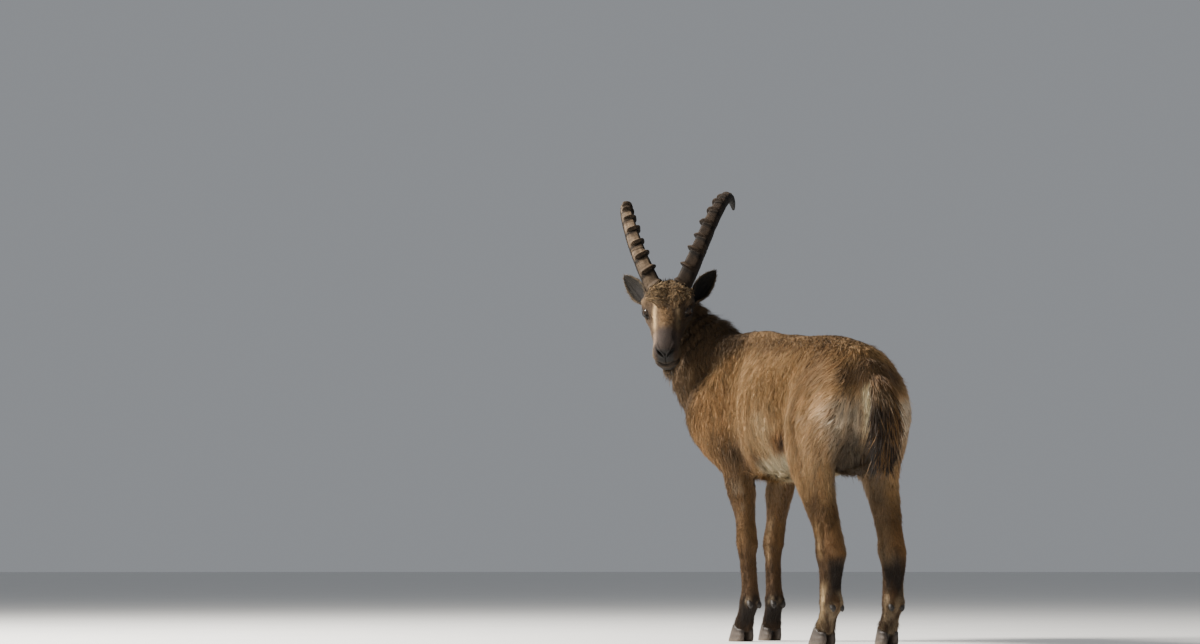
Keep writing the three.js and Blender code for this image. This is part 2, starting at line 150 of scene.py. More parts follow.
def smooth(x, a, b):
    """0 below a, 1 above b, smooth between; a may be above b."""
    k = np.clip((x - a) / (b - a), 0, 1)
    return k * k * (3 - 2 * k)


def mix(a, b, k):
    return a + (b - a) * k


def row_at(rows, t):
    rows = np.asarray(rows, float)
    last = len(rows) - 1
    t = np.atleast_1d(np.asarray(t, float))
    i = np.clip(np.floor(t).astype(int), 0, last - 1)
    f = (t - i)[:, None]
    b, c = rows[i], rows[i + 1]
    a = np.where((i > 0)[:, None], rows[np.maximum(i - 1, 0)], 2 * b - c)
    d = np.where((i < last - 1)[:, None], rows[np.minimum(i + 2, last)], 2 * c - b)
    return b + 0.5 * f * (c - a + f * (2 * a - 5 * b + 4 * c - d + f * (3 * (b - c) + d - a)))


def value_noise(p, scale, seed):
    """Smooth noise between -1 and 1 at points p, its cells scale wide."""
    q = p / scale
    i = np.floor(q).astype(np.int64)
    f = q - i
    f = f * f * (3 - 2 * f)
    total = 0
    for dx in (0, 1):
        for dy in (0, 1):
            for dz in (0, 1):
                h = (i[:, 0] + dx) * 73856093 ^ (i[:, 1] + dy) * 19349663 ^ (i[:, 2] + dz) * 83492791 ^ seed * 2654435
                h = (h ^ (h >> 13)) * 1274126177 & 0x7FFFFFFF
                r = ((h ^ (h >> 16)) & 0xFFFF) / 32767.5 - 1
                w = (f[:, 0] if dx else 1 - f[:, 0]) * (f[:, 1] if dy else 1 - f[:, 1]) * (f[:, 2] if dz else 1 - f[:, 2])
                total = total + r * w
    return total


heading, pitch, roll = map(math.radians, (HEAD_HEADING, HEAD_PITCH, HEAD_ROLL))
NOSE = np.array([math.cos(pitch) * math.cos(heading), math.cos(pitch) * math.sin(heading), -math.sin(pitch)])
LEFT = np.array([-math.sin(heading), math.cos(heading), 0.0])
LEFT = LEFT * math.cos(roll) + np.cross(NOSE, LEFT) * math.sin(roll)
CROWN = np.cross(NOSE, LEFT)


def in_head(n, l, t):
    n, l, t = np.broadcast_arrays(*map(lambda v: np.asarray(v, float), (n, l, t)))
    return HEAD_AT + n[..., None] * NOSE + l[..., None] * LEFT + t[..., None] * CROWN


def head_dir(n, l, t):
    return unit(n * NOSE + l * LEFT + t * CROWN)


def to_head(p):
    q = p - HEAD_AT
    return q @ NOSE, q @ LEFT, q @ CROWN


class Loft:
    """Rounded sections along a centreline. rows hold the outside of the coat; inset takes its depth off."""

    def __init__(self, name, rows, up=None, sides=40, rings=60, caps=(0.5, 0.5), inset=1.0):
        rows = np.array(rows, float)
        depth = rows[:, -1] * inset
        rows[:, 3] -= depth
        rows[:, 4] -= depth
        rows[:, 5] -= depth
        self.name, self.rows, self.up, self.caps = name, rows, up, caps
        self.sides, self.rings, self.last = sides, rings, len(rows) - 1

    def frames(self, t):
        r = row_at(self.rows, t)
        e = 0.02
        T = unit(row_at(self.rows, np.minimum(np.asarray(t) + e, self.last))[:, :3] - row_at(self.rows, np.maximum(np.asarray(t) - e, 0))[:, :3])
        g = np.broadcast_to(self.up, T.shape) if self.up is not None else r[:, 8:11]
        S = unit(np.cross(g, T))
        return r, T, S, np.cross(T, S)

    def ring(self, t, shrink=1.0, push=0.0):
        r, T, S, U = (x[0] for x in self.frames([t]))
        a = 2 * np.pi * np.arange(self.sides) / self.sides
        c, s = np.cos(a), np.sin(a)
        power = 2 / np.where(s >= -1e-9, r[6], r[7])
        across = r[3] * np.sign(c) * np.abs(c) ** power * shrink
        rise = np.where(s >= 0, r[4], r[5]) * np.sign(s) * np.abs(s) ** power * shrink
        return r[:3] + across[:, None] * S + rise[:, None] * U + T * push

    def mesh(self):
        """vertices, faces, and for each vertex its place along (0 to 1) and round (0 to 1)."""
        size = lambda t: min(self.frames([t])[0][0][3], self.frames([t])[0][0][4:6].mean())
        rings, along = [], []
        cap = [0.97, 0.87, 0.7, 0.5, 0.25]
        if self.caps[0]:
            for c in reversed(cap):
                rings.append(self.ring(0, c, -self.caps[0] * size(0) * math.sqrt(1 - c * c)))
                along.append(0)
        for i in range(self.rings):
            rings.append(self.ring(self.last * i / (self.rings - 1)))
            along.append(i / (self.rings - 1))
        if self.caps[1]:
            for c in cap:
                rings.append(self.ring(self.last, c, self.caps[1] * size(self.last) * math.sqrt(1 - c * c)))
                along.append(1)
        v = np.concatenate(rings)
        k, m = self.sides, len(rings)
        j = np.arange(m - 1)[:, None] * k
        q = np.arange(k)[None]
        n = (q + 1) % k
        faces = np.stack([j + q, j + n, j + n + k, j + q + k], -1).reshape(-1, 4).tolist()
        r0, T0, _, _ = (x[0] for x in self.frames([0]))
        r1, T1, _, _ = (x[0] for x in self.frames([self.last]))
        v = np.concatenate([v, [r0[:3] - T0 * self.caps[0] * size(0)], [r1[:3] + T1 * self.caps[1] * size(self.last)]])
        for i in range(k):
            faces.append([m * k, (i + 1) % k, i])
            faces.append([m * k + 1, (m - 1) * k + i, (m - 1) * k + (i + 1) % k])
        t = np.concatenate([np.repeat(along, k), [0, 1]])
        a = np.concatenate([np.tile(np.arange(k) / k, m), [0.25, 0.25]])
        return v, faces, t, a


def head_rows(rows):
    out = []
    for n, w, top, level, bottom, nu, nd, d in rows:
        out.append([*in_head(n, 0, level), w, top - level, level - bottom, nu, nd, d])
    return out


def leg_rows(sizes, at):
    rows = [[*p, *sizes[i][:3], 2.1, 2.1, sizes[i][3]] for i, p in enumerate(at)]
    x, y, z = at[-1]
    rows.append([x + 5, y, z - 11, 27, 26, 28, 2.1, 2.1, 4])  # the skin runs a little way into the hooves
    return rows


LOFTS = [
    Loft("trunk", TRUNK, (0, 0, 1), 64, 90, inset=0.62),
    Loft("neck", NECK, None, 56, 60, inset=0.62),
    Loft("head", head_rows(HEAD), CROWN, 64, 80, (0.5, 0.4)),
    Loft("tail", TAIL, (-1, 0, 0.1), 24, 40, (0.6, 1.0)),
]
for leg, (sizes, turn, at) in LEGS.items():
    a = math.radians(turn)
    LOFTS.append(Loft(leg, leg_rows(sizes, at), (math.cos(a), math.sin(a), 0), 32, 90, (0.8, 0.02), 0.66))
PART = {l.name: i for i, l in enumerate(LOFTS)}


# ---------------------------------------------------------------- meshes
def make_mesh(name, verts, faces, smooth_faces=True):
    """faces: a list, or an array of triangles. verts in millimetres in the body's axes."""
    me = bpy.data.meshes.new(name)
    co = (np.asarray(verts, float) + ORIGIN) / 1000
    if isinstance(faces, np.ndarray):
        f = faces.astype(np.int32)
        me.vertices.add(len(co))
        me.vertices.foreach_set("co", co.astype(np.float32).ravel())
        me.loops.add(f.size)
        me.loops.foreach_set("vertex_index", f.ravel())
        me.polygons.add(len(f))
        me.polygons.foreach_set("loop_start", np.arange(0, f.size, f.shape[1], dtype=np.int32))
        me.polygons.foreach_set("loop_total", np.full(len(f), f.shape[1], np.int32))
    else:
        me.from_pydata(co.tolist(), [], faces)
    me.polygons.foreach_set("use_smooth", np.full(len(me.polygons), smooth_faces))
    me.update(calc_edges=True)
    ob = bpy.data.objects.new(name, me)
    bpy.context.scene.collection.objects.link(ob)
    return ob


def mesh_arrays(me):
    """vertices in millimetres in the body's axes, and the quads or triangles as a list of arrays."""
    co = np.empty(len(me.vertices) * 3, np.float32)
    me.vertices.foreach_get("co", co)
    return co.reshape(-1, 3).astype(float) * 1000 - ORIGIN


def triangles_of(me):
    me.calc_loop_triangles()
    t = np.empty(len(me.loop_triangles) * 3, np.int32)
    me.loop_triangles.foreach_get("vertices", t)
    return t.reshape(-1, 3)


def edges_of(me):
    e = np.empty(len(me.edges) * 2, np.int32)
    me.edges.foreach_get("vertices", e)
    return e.reshape(-1, 2)


def laplacian(v, edges, weight, times, degree=None):
    n = len(v)
    if degree is None:
        degree = np.maximum(np.bincount(edges.ravel(), minlength=n), 1)
    for _ in range(times):
        s = np.zeros_like(v)
        for k in range(v.shape[1]):
            s[:, k] = np.bincount(edges[:, 0], v[edges[:, 1], k], n) + np.bincount(edges[:, 1], v[edges[:, 0], k], n)
        v = v + (s / degree[:, None] - v) * (weight[:, None] if np.ndim(weight) else weight)
    return v


def vertex_normals(v, tris):
    n = np.cross(v[tris[:, 1]] - v[tris[:, 0]], v[tris[:, 2]] - v[tris[:, 0]])
    out = np.zeros_like(v)
    for k in range(3):
        for c in range(3):
            out[:, c] += np.bincount(tris[:, k], n[:, c], len(v))
    return unit(out)


def set_colour(me, name, rgb):
    at = me.attributes.new(name, "FLOAT_COLOR", "POINT")
    c = np.ones((len(rgb), 4), np.float32)
    c[:, :3] = rgb
    at.data.foreach_set("color", c.ravel())


def set_float(me, name, x):
    at = me.attributes.new(name, "FLOAT", "POINT")
    at.data.foreach_set("value", np.asarray(x, np.float32))


# ---------------------------------------------------------------- the skin
VOXEL = 6.6
all_v, all_f, sample_p, sample_part, sample_t, sample_a = [], [], [], [], [], []
count = 0
for i, l in enumerate(LOFTS):
    v, f, t, a = l.mesh()
    all_v.append(v)
    all_f += [[x + count for x in q] for q in f]
    count += len(v)
    sample_p.append(v)
    sample_part.append(np.full(len(v), i))
    sample_t.append(t)
    sample_a.append(a)
raw = make_mesh("raw", np.concatenate(all_v), all_f)
mod = raw.modifiers.new("r", "REMESH")
mod.mode = "VOXEL"
mod.voxel_size = VOXEL / 1000
mod.use_smooth_shade = True
dg = bpy.context.evaluated_depsgraph_get()
made = bpy.data.meshes.new_from_object(raw.evaluated_get(dg))
bpy.data.objects.remove(raw)

sample_p = np.concatenate(sample_p)
sample_part = np.concatenate(sample_part)
sample_t = np.concatenate(sample_t)
sample_a = np.concatenate(sample_a)
tree = kdtree.KDTree(len(sample_p))
for i, p in enumerate(sample_p):
    tree.insert(p, i)
tree.balance()


def nearest(points):
    return np.array([tree.find(p)[1] for p in points])


def split_near(me, wanted):
    """Divides the faces whose middle is wanted, once."""
    bm = bmesh.new()
    bm.from_mesh(me)
    bm.faces.ensure_lookup_table()
    mid = np.array([f.calc_center_median() for f in bm.faces]) * 1000 - ORIGIN
    pick = np.flatnonzero(wanted(mid))
    edges = {e for i in pick for e in bm.faces[i].edges}
    bmesh.ops.subdivide_edges(bm, edges=list(edges), cuts=1, use_grid_fill=True)
    bm.to_mesh(me)
    bm.free()


# Smooth the joins on the body, and less on thin parts.
v = mesh_arrays(made)
e = edges_of(made)
near = nearest(v)
part = sample_part[near]
along = sample_t[near]
loose = np.where(part == PART["head"], 0.28, 0.5)
for name in LEGS:
    own = part == PART[name]
    loose[own] = mix(0.5, 0.14, smooth(along[own], 0.25, 0.42))
loose[part == PART["tail"]] = 0.25
v = laplacian(v, e, loose, 13)
made.vertices.foreach_set("co", ((v + ORIGIN) / 1000).astype(np.float32).ravel())


def on_head(p):
    n, l, t = to_head(p)
    return (n > 62) & (np.abs(l) < 90) & (t < 40) & (t > -160) & (n < 320) & (p[:, 2] > 700)


def on_face_detail(p):
    n, l, t = to_head(p)
    eye = ((n - EYE["n"]) / 34) ** 2 + ((t - EYE["t"]) / 30) ** 2 < 1
    eye &= np.abs(l) > 40
    mouth = (n > 232) & (t < -20)
    return (eye | mouth) & on_head(p)


split_near(made, lambda p: on_head(p) | (p[:, 2] < 335))
split_near(made, on_face_detail)
v = mesh_arrays(made)
e = edges_of(made)
v = laplacian(v, e, np.where(on_head(v), 0.45, np.where(v[:, 2] < 335, 0.3, 0.0)), 3)

# Shapes of the face, as pushes along the normal.
tris = triangles_of(made)
normal = vertex_normals(v, tris)
hn, hl, ht = to_head(v)
side = np.abs(hl)
near = nearest(v)
part = sample_part[near]
headish = smooth(hn, 58, 80) * (part == PART["head"])


def blob(n, l, t, rn, rl, rt):
    return np.exp(-(((hn - n) / rn) ** 2 + ((side - l) / rl) ** 2 + ((ht - t) / rt) ** 2))


push = np.zeros(len(v))
push += 8.0 * blob(140, 62, -5, 17, 15, 12)  # brow
push += 4.5 * blob(176, 58, -46, 20, 16, 9)  # cheek bone under the eye
push += 3.5 * blob(212, 42, -60, 28, 14, 8)  # crest of the cheek
push -= 7.0 * blob(188, 46, -24, 15, 14, 11)  # hollow before the eye
push -= 4.5 * blob(216, 35, -22, 32, 11, 12)  # flat side of the bridge
push += 4.5 * blob(112, 60, -96, 32, 26, 24)  # jaw muscle
push -= 4.0 * blob(198, 34, -102, 26, 18, 12)  # behind the chin
push -= 3.0 * blob(240, 26, -36, 26, 9, 8)  # beside the nose bridge
push += 3.0 * blob(222, 0, -12, 44, 12, 12)  # bridge of the nose
push += 13.0 * blob(110, 28, 12, 28, 19, 19)  # forehead under the horns, in two lobes
push -= 8.0 * blob(128, 0, 8, 32, 8, 24)  # furrow between them
push += 3.2 * blob(274, 24, -54, 15, 13, 15)  # side of the muzzle
push += 3.0 * blob(264, 22, -98, 16, 12, 10)  # lower lip
push += 5.0 * blob(270, 30, -74, 24, 14, 16)  # upper lip
push += 3.0 * blob(268, 0, -126, 16, 16, 12)  # chin
v = v + normal * (push * headish)[:, None]

# Mouth, nostrils and the groove under the nose.
normal = vertex_normals(v, tris)
hn, hl, ht = to_head(v)
side = np.abs(hl)
mouth_t = -84 - 0.16 * (300 - hn) + 6 * smooth(side, 0, 24) - 5 * smooth(hn, 262, 236)
mouth = np.exp(-(((ht - mouth_t) / 2.3) ** 2)) * smooth(hn, 226, 244)
lips = np.exp(-(((ht - mouth_t - 6) / 5) ** 2)) * smooth(hn, 240, 262)
under = np.exp(-(((ht - mouth_t + 7) / 5) ** 2)) * smooth(hn, 246, 266)
nt = ht + 53 - (side - 14) * 0.85
nostril = np.exp(-(((side - 15) / 9.0) ** 2 + ((nt + 0.02 * (side - 15) ** 2) / 3.6) ** 2) ** 1.4) * smooth(hn, 266, 282)
rim = np.exp(-((((side - 15) / 13) ** 2 + ((nt - 2) / 9) ** 2 - 1) / 0.5) ** 2) * smooth(hn, 266, 282)
cleft = np.exp(-((hl / 1.5) ** 2)) * smooth(ht, -87, -80) * smooth(ht, -46, -54) * smooth(hn, 276, 290)
push = -3.4 * mouth + 1.8 * lips + 1.4 * under - 9.0 * nostril + 1.8 * rim - 2.4 * cleft
v = v + normal * (push * headish)[:, None]
NOSTRIL, MOUTH, CLEFT = nostril * headish, mouth * headish, cleft * headish

# The lower half of the muzzle hangs a little.
jaw = smooth(ht, -62, -92) * smooth(hn, 212, 262) * headish
v = v + (NOSE * 7.0 - CROWN * 9.0) * jaw[:, None]

# Lids round each eye.
EYE_R = 15.6
EYE_AXIS = {s: head_dir(0.36, s * 0.9, 0.2) for s in (1, -1)}
EYE_AT = {s: in_head(EYE["n"], s * (EYE["l"] - 4.4), EYE["t"]) for s in (1, -1)}
EYE_FORE, EYE_UP = {}, {}
for s in (1, -1):
    axis = EYE_AXIS[s]
    fore = unit(NOSE - axis * (NOSE @ axis))
    upper = unit(CROWN - axis * (CROWN @ axis) - fore * (CROWN @ fore))
    tilt = 0.2
    EYE_FORE[s] = fore * math.cos(tilt) - upper * math.sin(tilt)
    EYE_UP[s] = upper * math.cos(tilt) + fore * math.sin(tilt)
lid_mark = np.zeros(len(v))
for s in (1, -1):
    axis = EYE_AXIS[s]
    q = v - EYE_AT[s]
    h, a, b = q @ axis, q @ EYE_FORE[s], q @ EYE_UP[s]
    # an almond, its front corner drawn out
    wide = np.where(a > 0, 13.4, 12.0)
    high = np.where(b > 0, 5.6, 5.0)
    rho = np.sqrt(np.abs(a / wide) ** 1.75 + np.abs(b / high) ** 2.0)
    own = (h > -6) & (rho < 3.2) & (np.linalg.norm(q, axis=1) < 50) & (hl * s > 0)
    ball = np.sqrt(np.maximum(EYE_R**2 - a**2 - b**2, 4.0))
    inside = smooth(rho, 1.02, 0.84)
    lid = ball + 1.5 + 1.7 * np.exp(-(((rho - 1.32) / 0.24) ** 2)) * np.where(b > 0, 1.4, 0.7)
    target = np.where(rho < 1.02, ball - 5 * inside + 0.6 * (1 - inside), lid)
    k = smooth(rho, 2.9, 1.3)
    move = (mix(h, target, k) - h) * own
    crease = np.exp(-(((rho - 1.85) / 0.16) ** 2)) * np.where(b > 0, 1.9, 0.9) * own
    v = v + axis * (move - crease)[:, None]
    lid_mark = np.maximum(lid_mark, smooth(rho, 1.75, 1.2) * own)

# Muscle, bone and folds on the body.
tris = triangles_of(made)
normal = vertex_normals(v, tris)
X, Y, Z = v.T


def lump(x, y, z, rx, ry, rz):
    return np.exp(-(((X - x) / rx) ** 2 + ((np.abs(Y) - y) / ry) ** 2 + ((Z - z) / rz) ** 2))


body = part != PART["head"]
push = -6.5 * lump(-222, 128, 650, 60, 60, 90)  # hollow of the flank
push += -11.0 * lump(112, 118, 590, 40, 60, 130)  # behind the shoulder
groove_x = -322 + 0.09 * (Z - 530)
groove = np.exp(-(((X - groove_x) / 13) ** 2)) * smooth(Z, 425, 470) * smooth(Z, 700, 640) * smooth(np.abs(Y), 80, 110)
push += -7.5 * groove  # front edge of the thigh
push += 5.0 * np.exp(-(((X - groove_x + 42) / 32) ** 2)) * smooth(Z, 400, 470) * smooth(Z, 620, 520) * smooth(np.abs(Y), 70, 100)
push += 2.5 * lump(-300, 72, 798, 46, 38, 30)  # point of the hip
push += 5.0 * lump(205, 92, 730, 46, 50, 80)  # shoulder blade
push += 6.0 * lump(300, 112, 600, 36, 42, 42)  # point of the shoulder
push += 5.0 * lump(150, 105, 500, 34, 40, 30)  # elbow
push += -5.0 * lump(196, 120, 520, 16, 40, 60)  # in front of the elbow
push += 5.0 * lump(-262, 130, 490, 32, 50, 40)  # stifle
push += -7.0 * lump(-400, 55, 480, 40, 36, 70)  # between the thighs
push += -6.0 * lump(-238, 118, 478, 34, 34, 26)  # under the fold of the flank
push += -24.0 * np.exp(-(((X + 245) / 55) ** 2 + (Y / 90) ** 4)) * smooth(Z, 520, 475) * (part == PART["trunk"])  # the belly rises to the groin
push += 14.0 * np.exp(-(((X + 375) / 60) ** 2 + (Y / 55) ** 4)) * smooth(Z, 520, 480) * (part == PART["trunk"])  # between the thighs
push += 5.5 * smooth(X, -120, 0) * smooth(X, 420, 340) * smooth(normal[:, 2], 0.6, 0.9) * smooth(Z, 770, 800)  # withers
push += 6.0 * smooth(X, 290, 330) * smooth(X, 430, 400) * smooth(normal[:, 2], 0.35, 0.7) * smooth(Z, 830, 860) * smooth(Z, 960, 930)  # nape
push += -8.0 * lump(-350, 140, 725, 55, 50, 75)  # upper thigh
neck_t = np.where(part == PART["neck"], sample_t[near], 0)
push += 2.4 * np.sin(neck_t * 2 * np.pi * 9) * smooth(neck_t, 0.45, 0.6) * smooth(neck_t, 0.92, 0.8) * (part == PART["neck"])
LEG_F = np.zeros(len(v))
LEG_O = np.zeros(len(v))
for name, (_, turn, at) in LEGS.items():
    own = part == PART[name]
    c = np.array(at)
    order = np.argsort(c[:, 2])
    cx, cy = (np.interp(Z, c[order, 2], c[order, k]) for k in (0, 1))
    ca, sa = math.cos(math.radians(turn)), math.sin(math.radians(turn))
    f = (X - cx) * ca + (Y - cy) * sa
    o = ((Y - cy) * ca - (X - cx) * sa) * np.sign(at[5][1])
    LEG_F[own], LEG_O[own] = f[own], o[own]
    g = lambda f0, z0, rf, rz, o0=0.0, ro=40.0: np.exp(-(((f - f0) / rf) ** 2 + ((np.abs(o) - o0) / ro) ** 2 + ((Z - z0) / rz) ** 2)) * own
    if name.startswith("fore"):
        push += 3.0 * g(24, 268, 14, 22) + 6.0 * g(-28, 262, 12, 16) - 3.0 * g(-8, 240, 8, 40, 24, 12)
        push += -2.6 * g(-9, 168, 6, 46, 20, 10) + 3.5 * g(-26, 104, 14, 14) - 2.0 * g(14, 222, 10, 12)
        push += 1.3 * np.sin((Z - 240) * 2 * np.pi / 10.5) * g(24, 262, 12, 26)
        push += 2.5 * g(0, 112, 40, 12)
        push += -4.0 * g(-18, 350, 12, 50, 26, 14) + 4.0 * g(20, 400, 30, 40, 30, 16)
    else:
        push += 7.5 * g(-40, 236, 13, 17, 0, 16) - 6.5 * g(-14, 285, 9, 42, 24, 12)
        push += -3.0 * g(-10, 168, 6, 40, 21, 10) + 3.5 * g(-27, 102, 14, 14) + 3.0 * g(30, 232, 14, 20)
        push += 2.5 * g(0, 110, 40, 12) + 3.5 * g(4, 246, 20, 16, 30, 10)
push *= body
v = v + normal * push[:, None]
blend = smooth(X, -450, -410) * smooth(X, -190, -230) * smooth(Z, 590, 640) * smooth(Z, 800, 770) * smooth(np.abs(Y), 60, 90)
v = laplacian(v, edges_of(made), 0.85 * blend, 60)
made.vertices.foreach_set("co", ((v + ORIGIN) / 1000).astype(np.float32).ravel())
made.update()
tris = triangles_of(made)
normal = vertex_normals(v, tris)
edges = edges_of(made)
hn, hl, ht = to_head(v)
near = nearest(v)
part, along, round_ = sample_part[near], sample_t[near], sample_a[near]
print("skin", len(v), "vertices", len(tris), "triangles")


# ---------------------------------------------------------------- lie, length and colour of the coat
def is_part(*names):
    return np.isin(part, [PART[n] for n in names])


def field_lie():
    d = np.zeros_like(v)
    X, Y, Z = v.T
    zero = 0 * X
    sy = np.sign(Y)
    height = (Z - 430) / 400
    down = smooth(height, 0.99, 0.8) * smooth(height, 0.02, 0.2)
    rear = smooth(X, -390, -450)
    own = is_part("trunk")
    top = np.exp(-((Y / 45) ** 2))
    d[own] = np.stack([-0.8 + 0.56 * down + 0.25 * rear + 0.35 * smooth(X, 60, 150) * (1 - down), np.clip(Y / 20, -1, 1) * (0.5 * (1 - down) * (1 - 0.5 * top) * (1 + 1.2 * smooth(X, 40, 140))) + sy * (0.08 * down + 0.35 * rear), -0.25 - 1.1 * down - 0.8 * rear], 1)[own]
    own = is_part("neck")
    n = next(l for l in LOFTS if l.name == "neck")
    T = n.frames(along[own] * n.last)[1]
    over = np.clip(normal[own][:, 1] / 0.25, -1, 1) * smooth(normal[own][:, 2], 0.1, 0.5)
    d[own] = -T + np.array([-0.2, 0, -0.85]) + np.stack([0 * over, 0.75 * over, 0 * over], 1)
    own = is_part("head")
    low = smooth(ht, -30, -90) * smooth(hn, 250, 200)
    d[own] = (-NOSE[None] * 1.0 - CROWN[None] * (0.9 * low)[:, None] + LEFT[None] * (np.sign(hl) * 0.3 * smooth(ht, -20, 5))[:, None])[own]
    own = is_part("tail")
    n = next(l for l in LOFTS if l.name == "tail")
    d[own] = n.frames(along[own] * n.last)[1] + np.stack([zero, sy * 0.18, zero], 1)[own]
    for name in LEGS:
        own = is_part(name)
        upper = smooth(along, 0.45, 0.1)
        if name.startswith("hind"):
            back = smooth(LEG_F, 10, -70)
            d[own] = np.stack([0.12 * upper + 0.7 * back * upper, sy * 0.4 * back * upper, -1 + zero], 1)[own]
        else:
            d[own] = np.stack([-0.3 * upper, zero, -1 + zero], 1)[own]
    d = laplacian(unit(d), edges, 0.6, 60)
    # slow waves in the lie
    turn = 0.2 * value_noise(v, 75, 21) + 0.12 * value_noise(v, 33, 22)
    turn *= np.where(is_part("head"), 0.5, 1.0)
    d = unit(d - normal * (d * normal).sum(1)[:, None])
    s = np.cross(normal, d)
    return unit(d * np.cos(turn)[:, None] + s * np.sin(turn)[:, None])


def field_sizes():
    """Length, width and lift of the tufts, and how closely they stand (per square centimetre)."""
    X, Y, Z = v.T
    length = np.full(len(v), 26.0)
    width = np.full(len(v), 1.7)
    lift = np.full(len(v), 0.14)
    dense = np.full(len(v), 16.4)
    ridge = smooth(Z, 770, 810) * smooth(np.abs(Y), 70, 30)
    lift -= 0.06 * ridge
    length -= 6 * ridge
    belly = smooth(Z, 505, 460) * is_part("trunk")
    length += 8 * belly
    lift += 0.1 * belly
    own = is_part("neck")
    length[own] = 31
    lift[own] = 0.17
    throat = smooth(X - 0.4 * (Z - 800), 370, 440) * own
    length += 5 * throat
    nape = own * smooth(normal[:, 2], 0.35, 0.75) * smooth(Z, 850, 900)
    length += 6 * nape
    lift += 0.07 * nape
    flat = smooth(normal[:, 2], 0.5, 0.85) * smooth(X, 120, 190) * smooth(Z, 880, 830)
    lift -= 0.05 * flat
    length -= 4 * flat
    own = is_part("fore_left", "fore_right")
    length[own] = np.interp(Z[own], [36, 60, 80, 110, 330, 400, 470, 560, 640], [14, 14, 9, 9, 10, 14, 19, 24, 26])
    width[own] = np.interp(Z[own], [40, 330, 400, 560], [1.4, 1.4, 1.6, 1.7])
    lift[own] = np.interp(Z[own], [40, 330, 480], [0.22, 0.18, 0.14])
    dense[own] = np.interp(Z[own], [40, 330, 430, 560], [20, 20, 18, 16.5])
    own = is_part("hind_left", "hind_right")
    length[own] = np.interp(Z[own], [36, 60, 80, 110, 270, 360, 470, 600], [14, 14, 9, 9, 11, 17, 26, 29])
    width[own] = np.interp(Z[own], [40, 270, 360, 470], [1.4, 1.4, 1.6, 1.8])
    lift[own] = np.interp(Z[own], [40, 300, 440], [0.22, 0.18, 0.15])
    dense[own] = np.interp(Z[own], [40, 280, 400, 500], [20, 20, 18, 16.5])
    own = is_part("head")
    back = smooth(hn, 120, 60)
    cheek = smooth(ht, -55, -100) * smooth(hn, 235, 190)
    length[own] = (6.0 + 12 * back + 6 * cheek - 2.4 * smooth(hn, 200, 260))[own]
    width[own] = (1.1 + 0.8 * back + 0.4 * cheek - 0.2 * smooth(hn, 200, 260))[own]
    lift[own] = (0.28 + 0.05 * back)[own]
    dense[own] = (36 - 16 * back - 8 * cheek)[own]
    return length, width, lift, dense


def srgb(r, g, b):
    c = np.array([r, g, b]) / 255
    return np.where(c <= 0.04045, c / 12.92, ((c + 0.055) / 1.055) ** 2.4)


GOLD = srgb(152, 118, 76)
TAN = srgb(150, 119, 82)
DARK_BACK = srgb(98, 75, 49)
PALE = srgb(184, 156, 118)
CREAM = srgb(218, 200, 164)
GREY_TAN = srgb(158, 134, 106)
BUFF = srgb(206, 187, 162)
BROWN = srgb(116, 84, 52)
RUST = srgb(124, 82, 44)
LEG_BROWN = srgb(84, 60, 34)
DARK = srgb(44, 33, 24)
BLACK = srgb(20, 15, 12)
NECK_BROWN = srgb(74, 57, 38)
FACE = srgb(68, 52, 36)


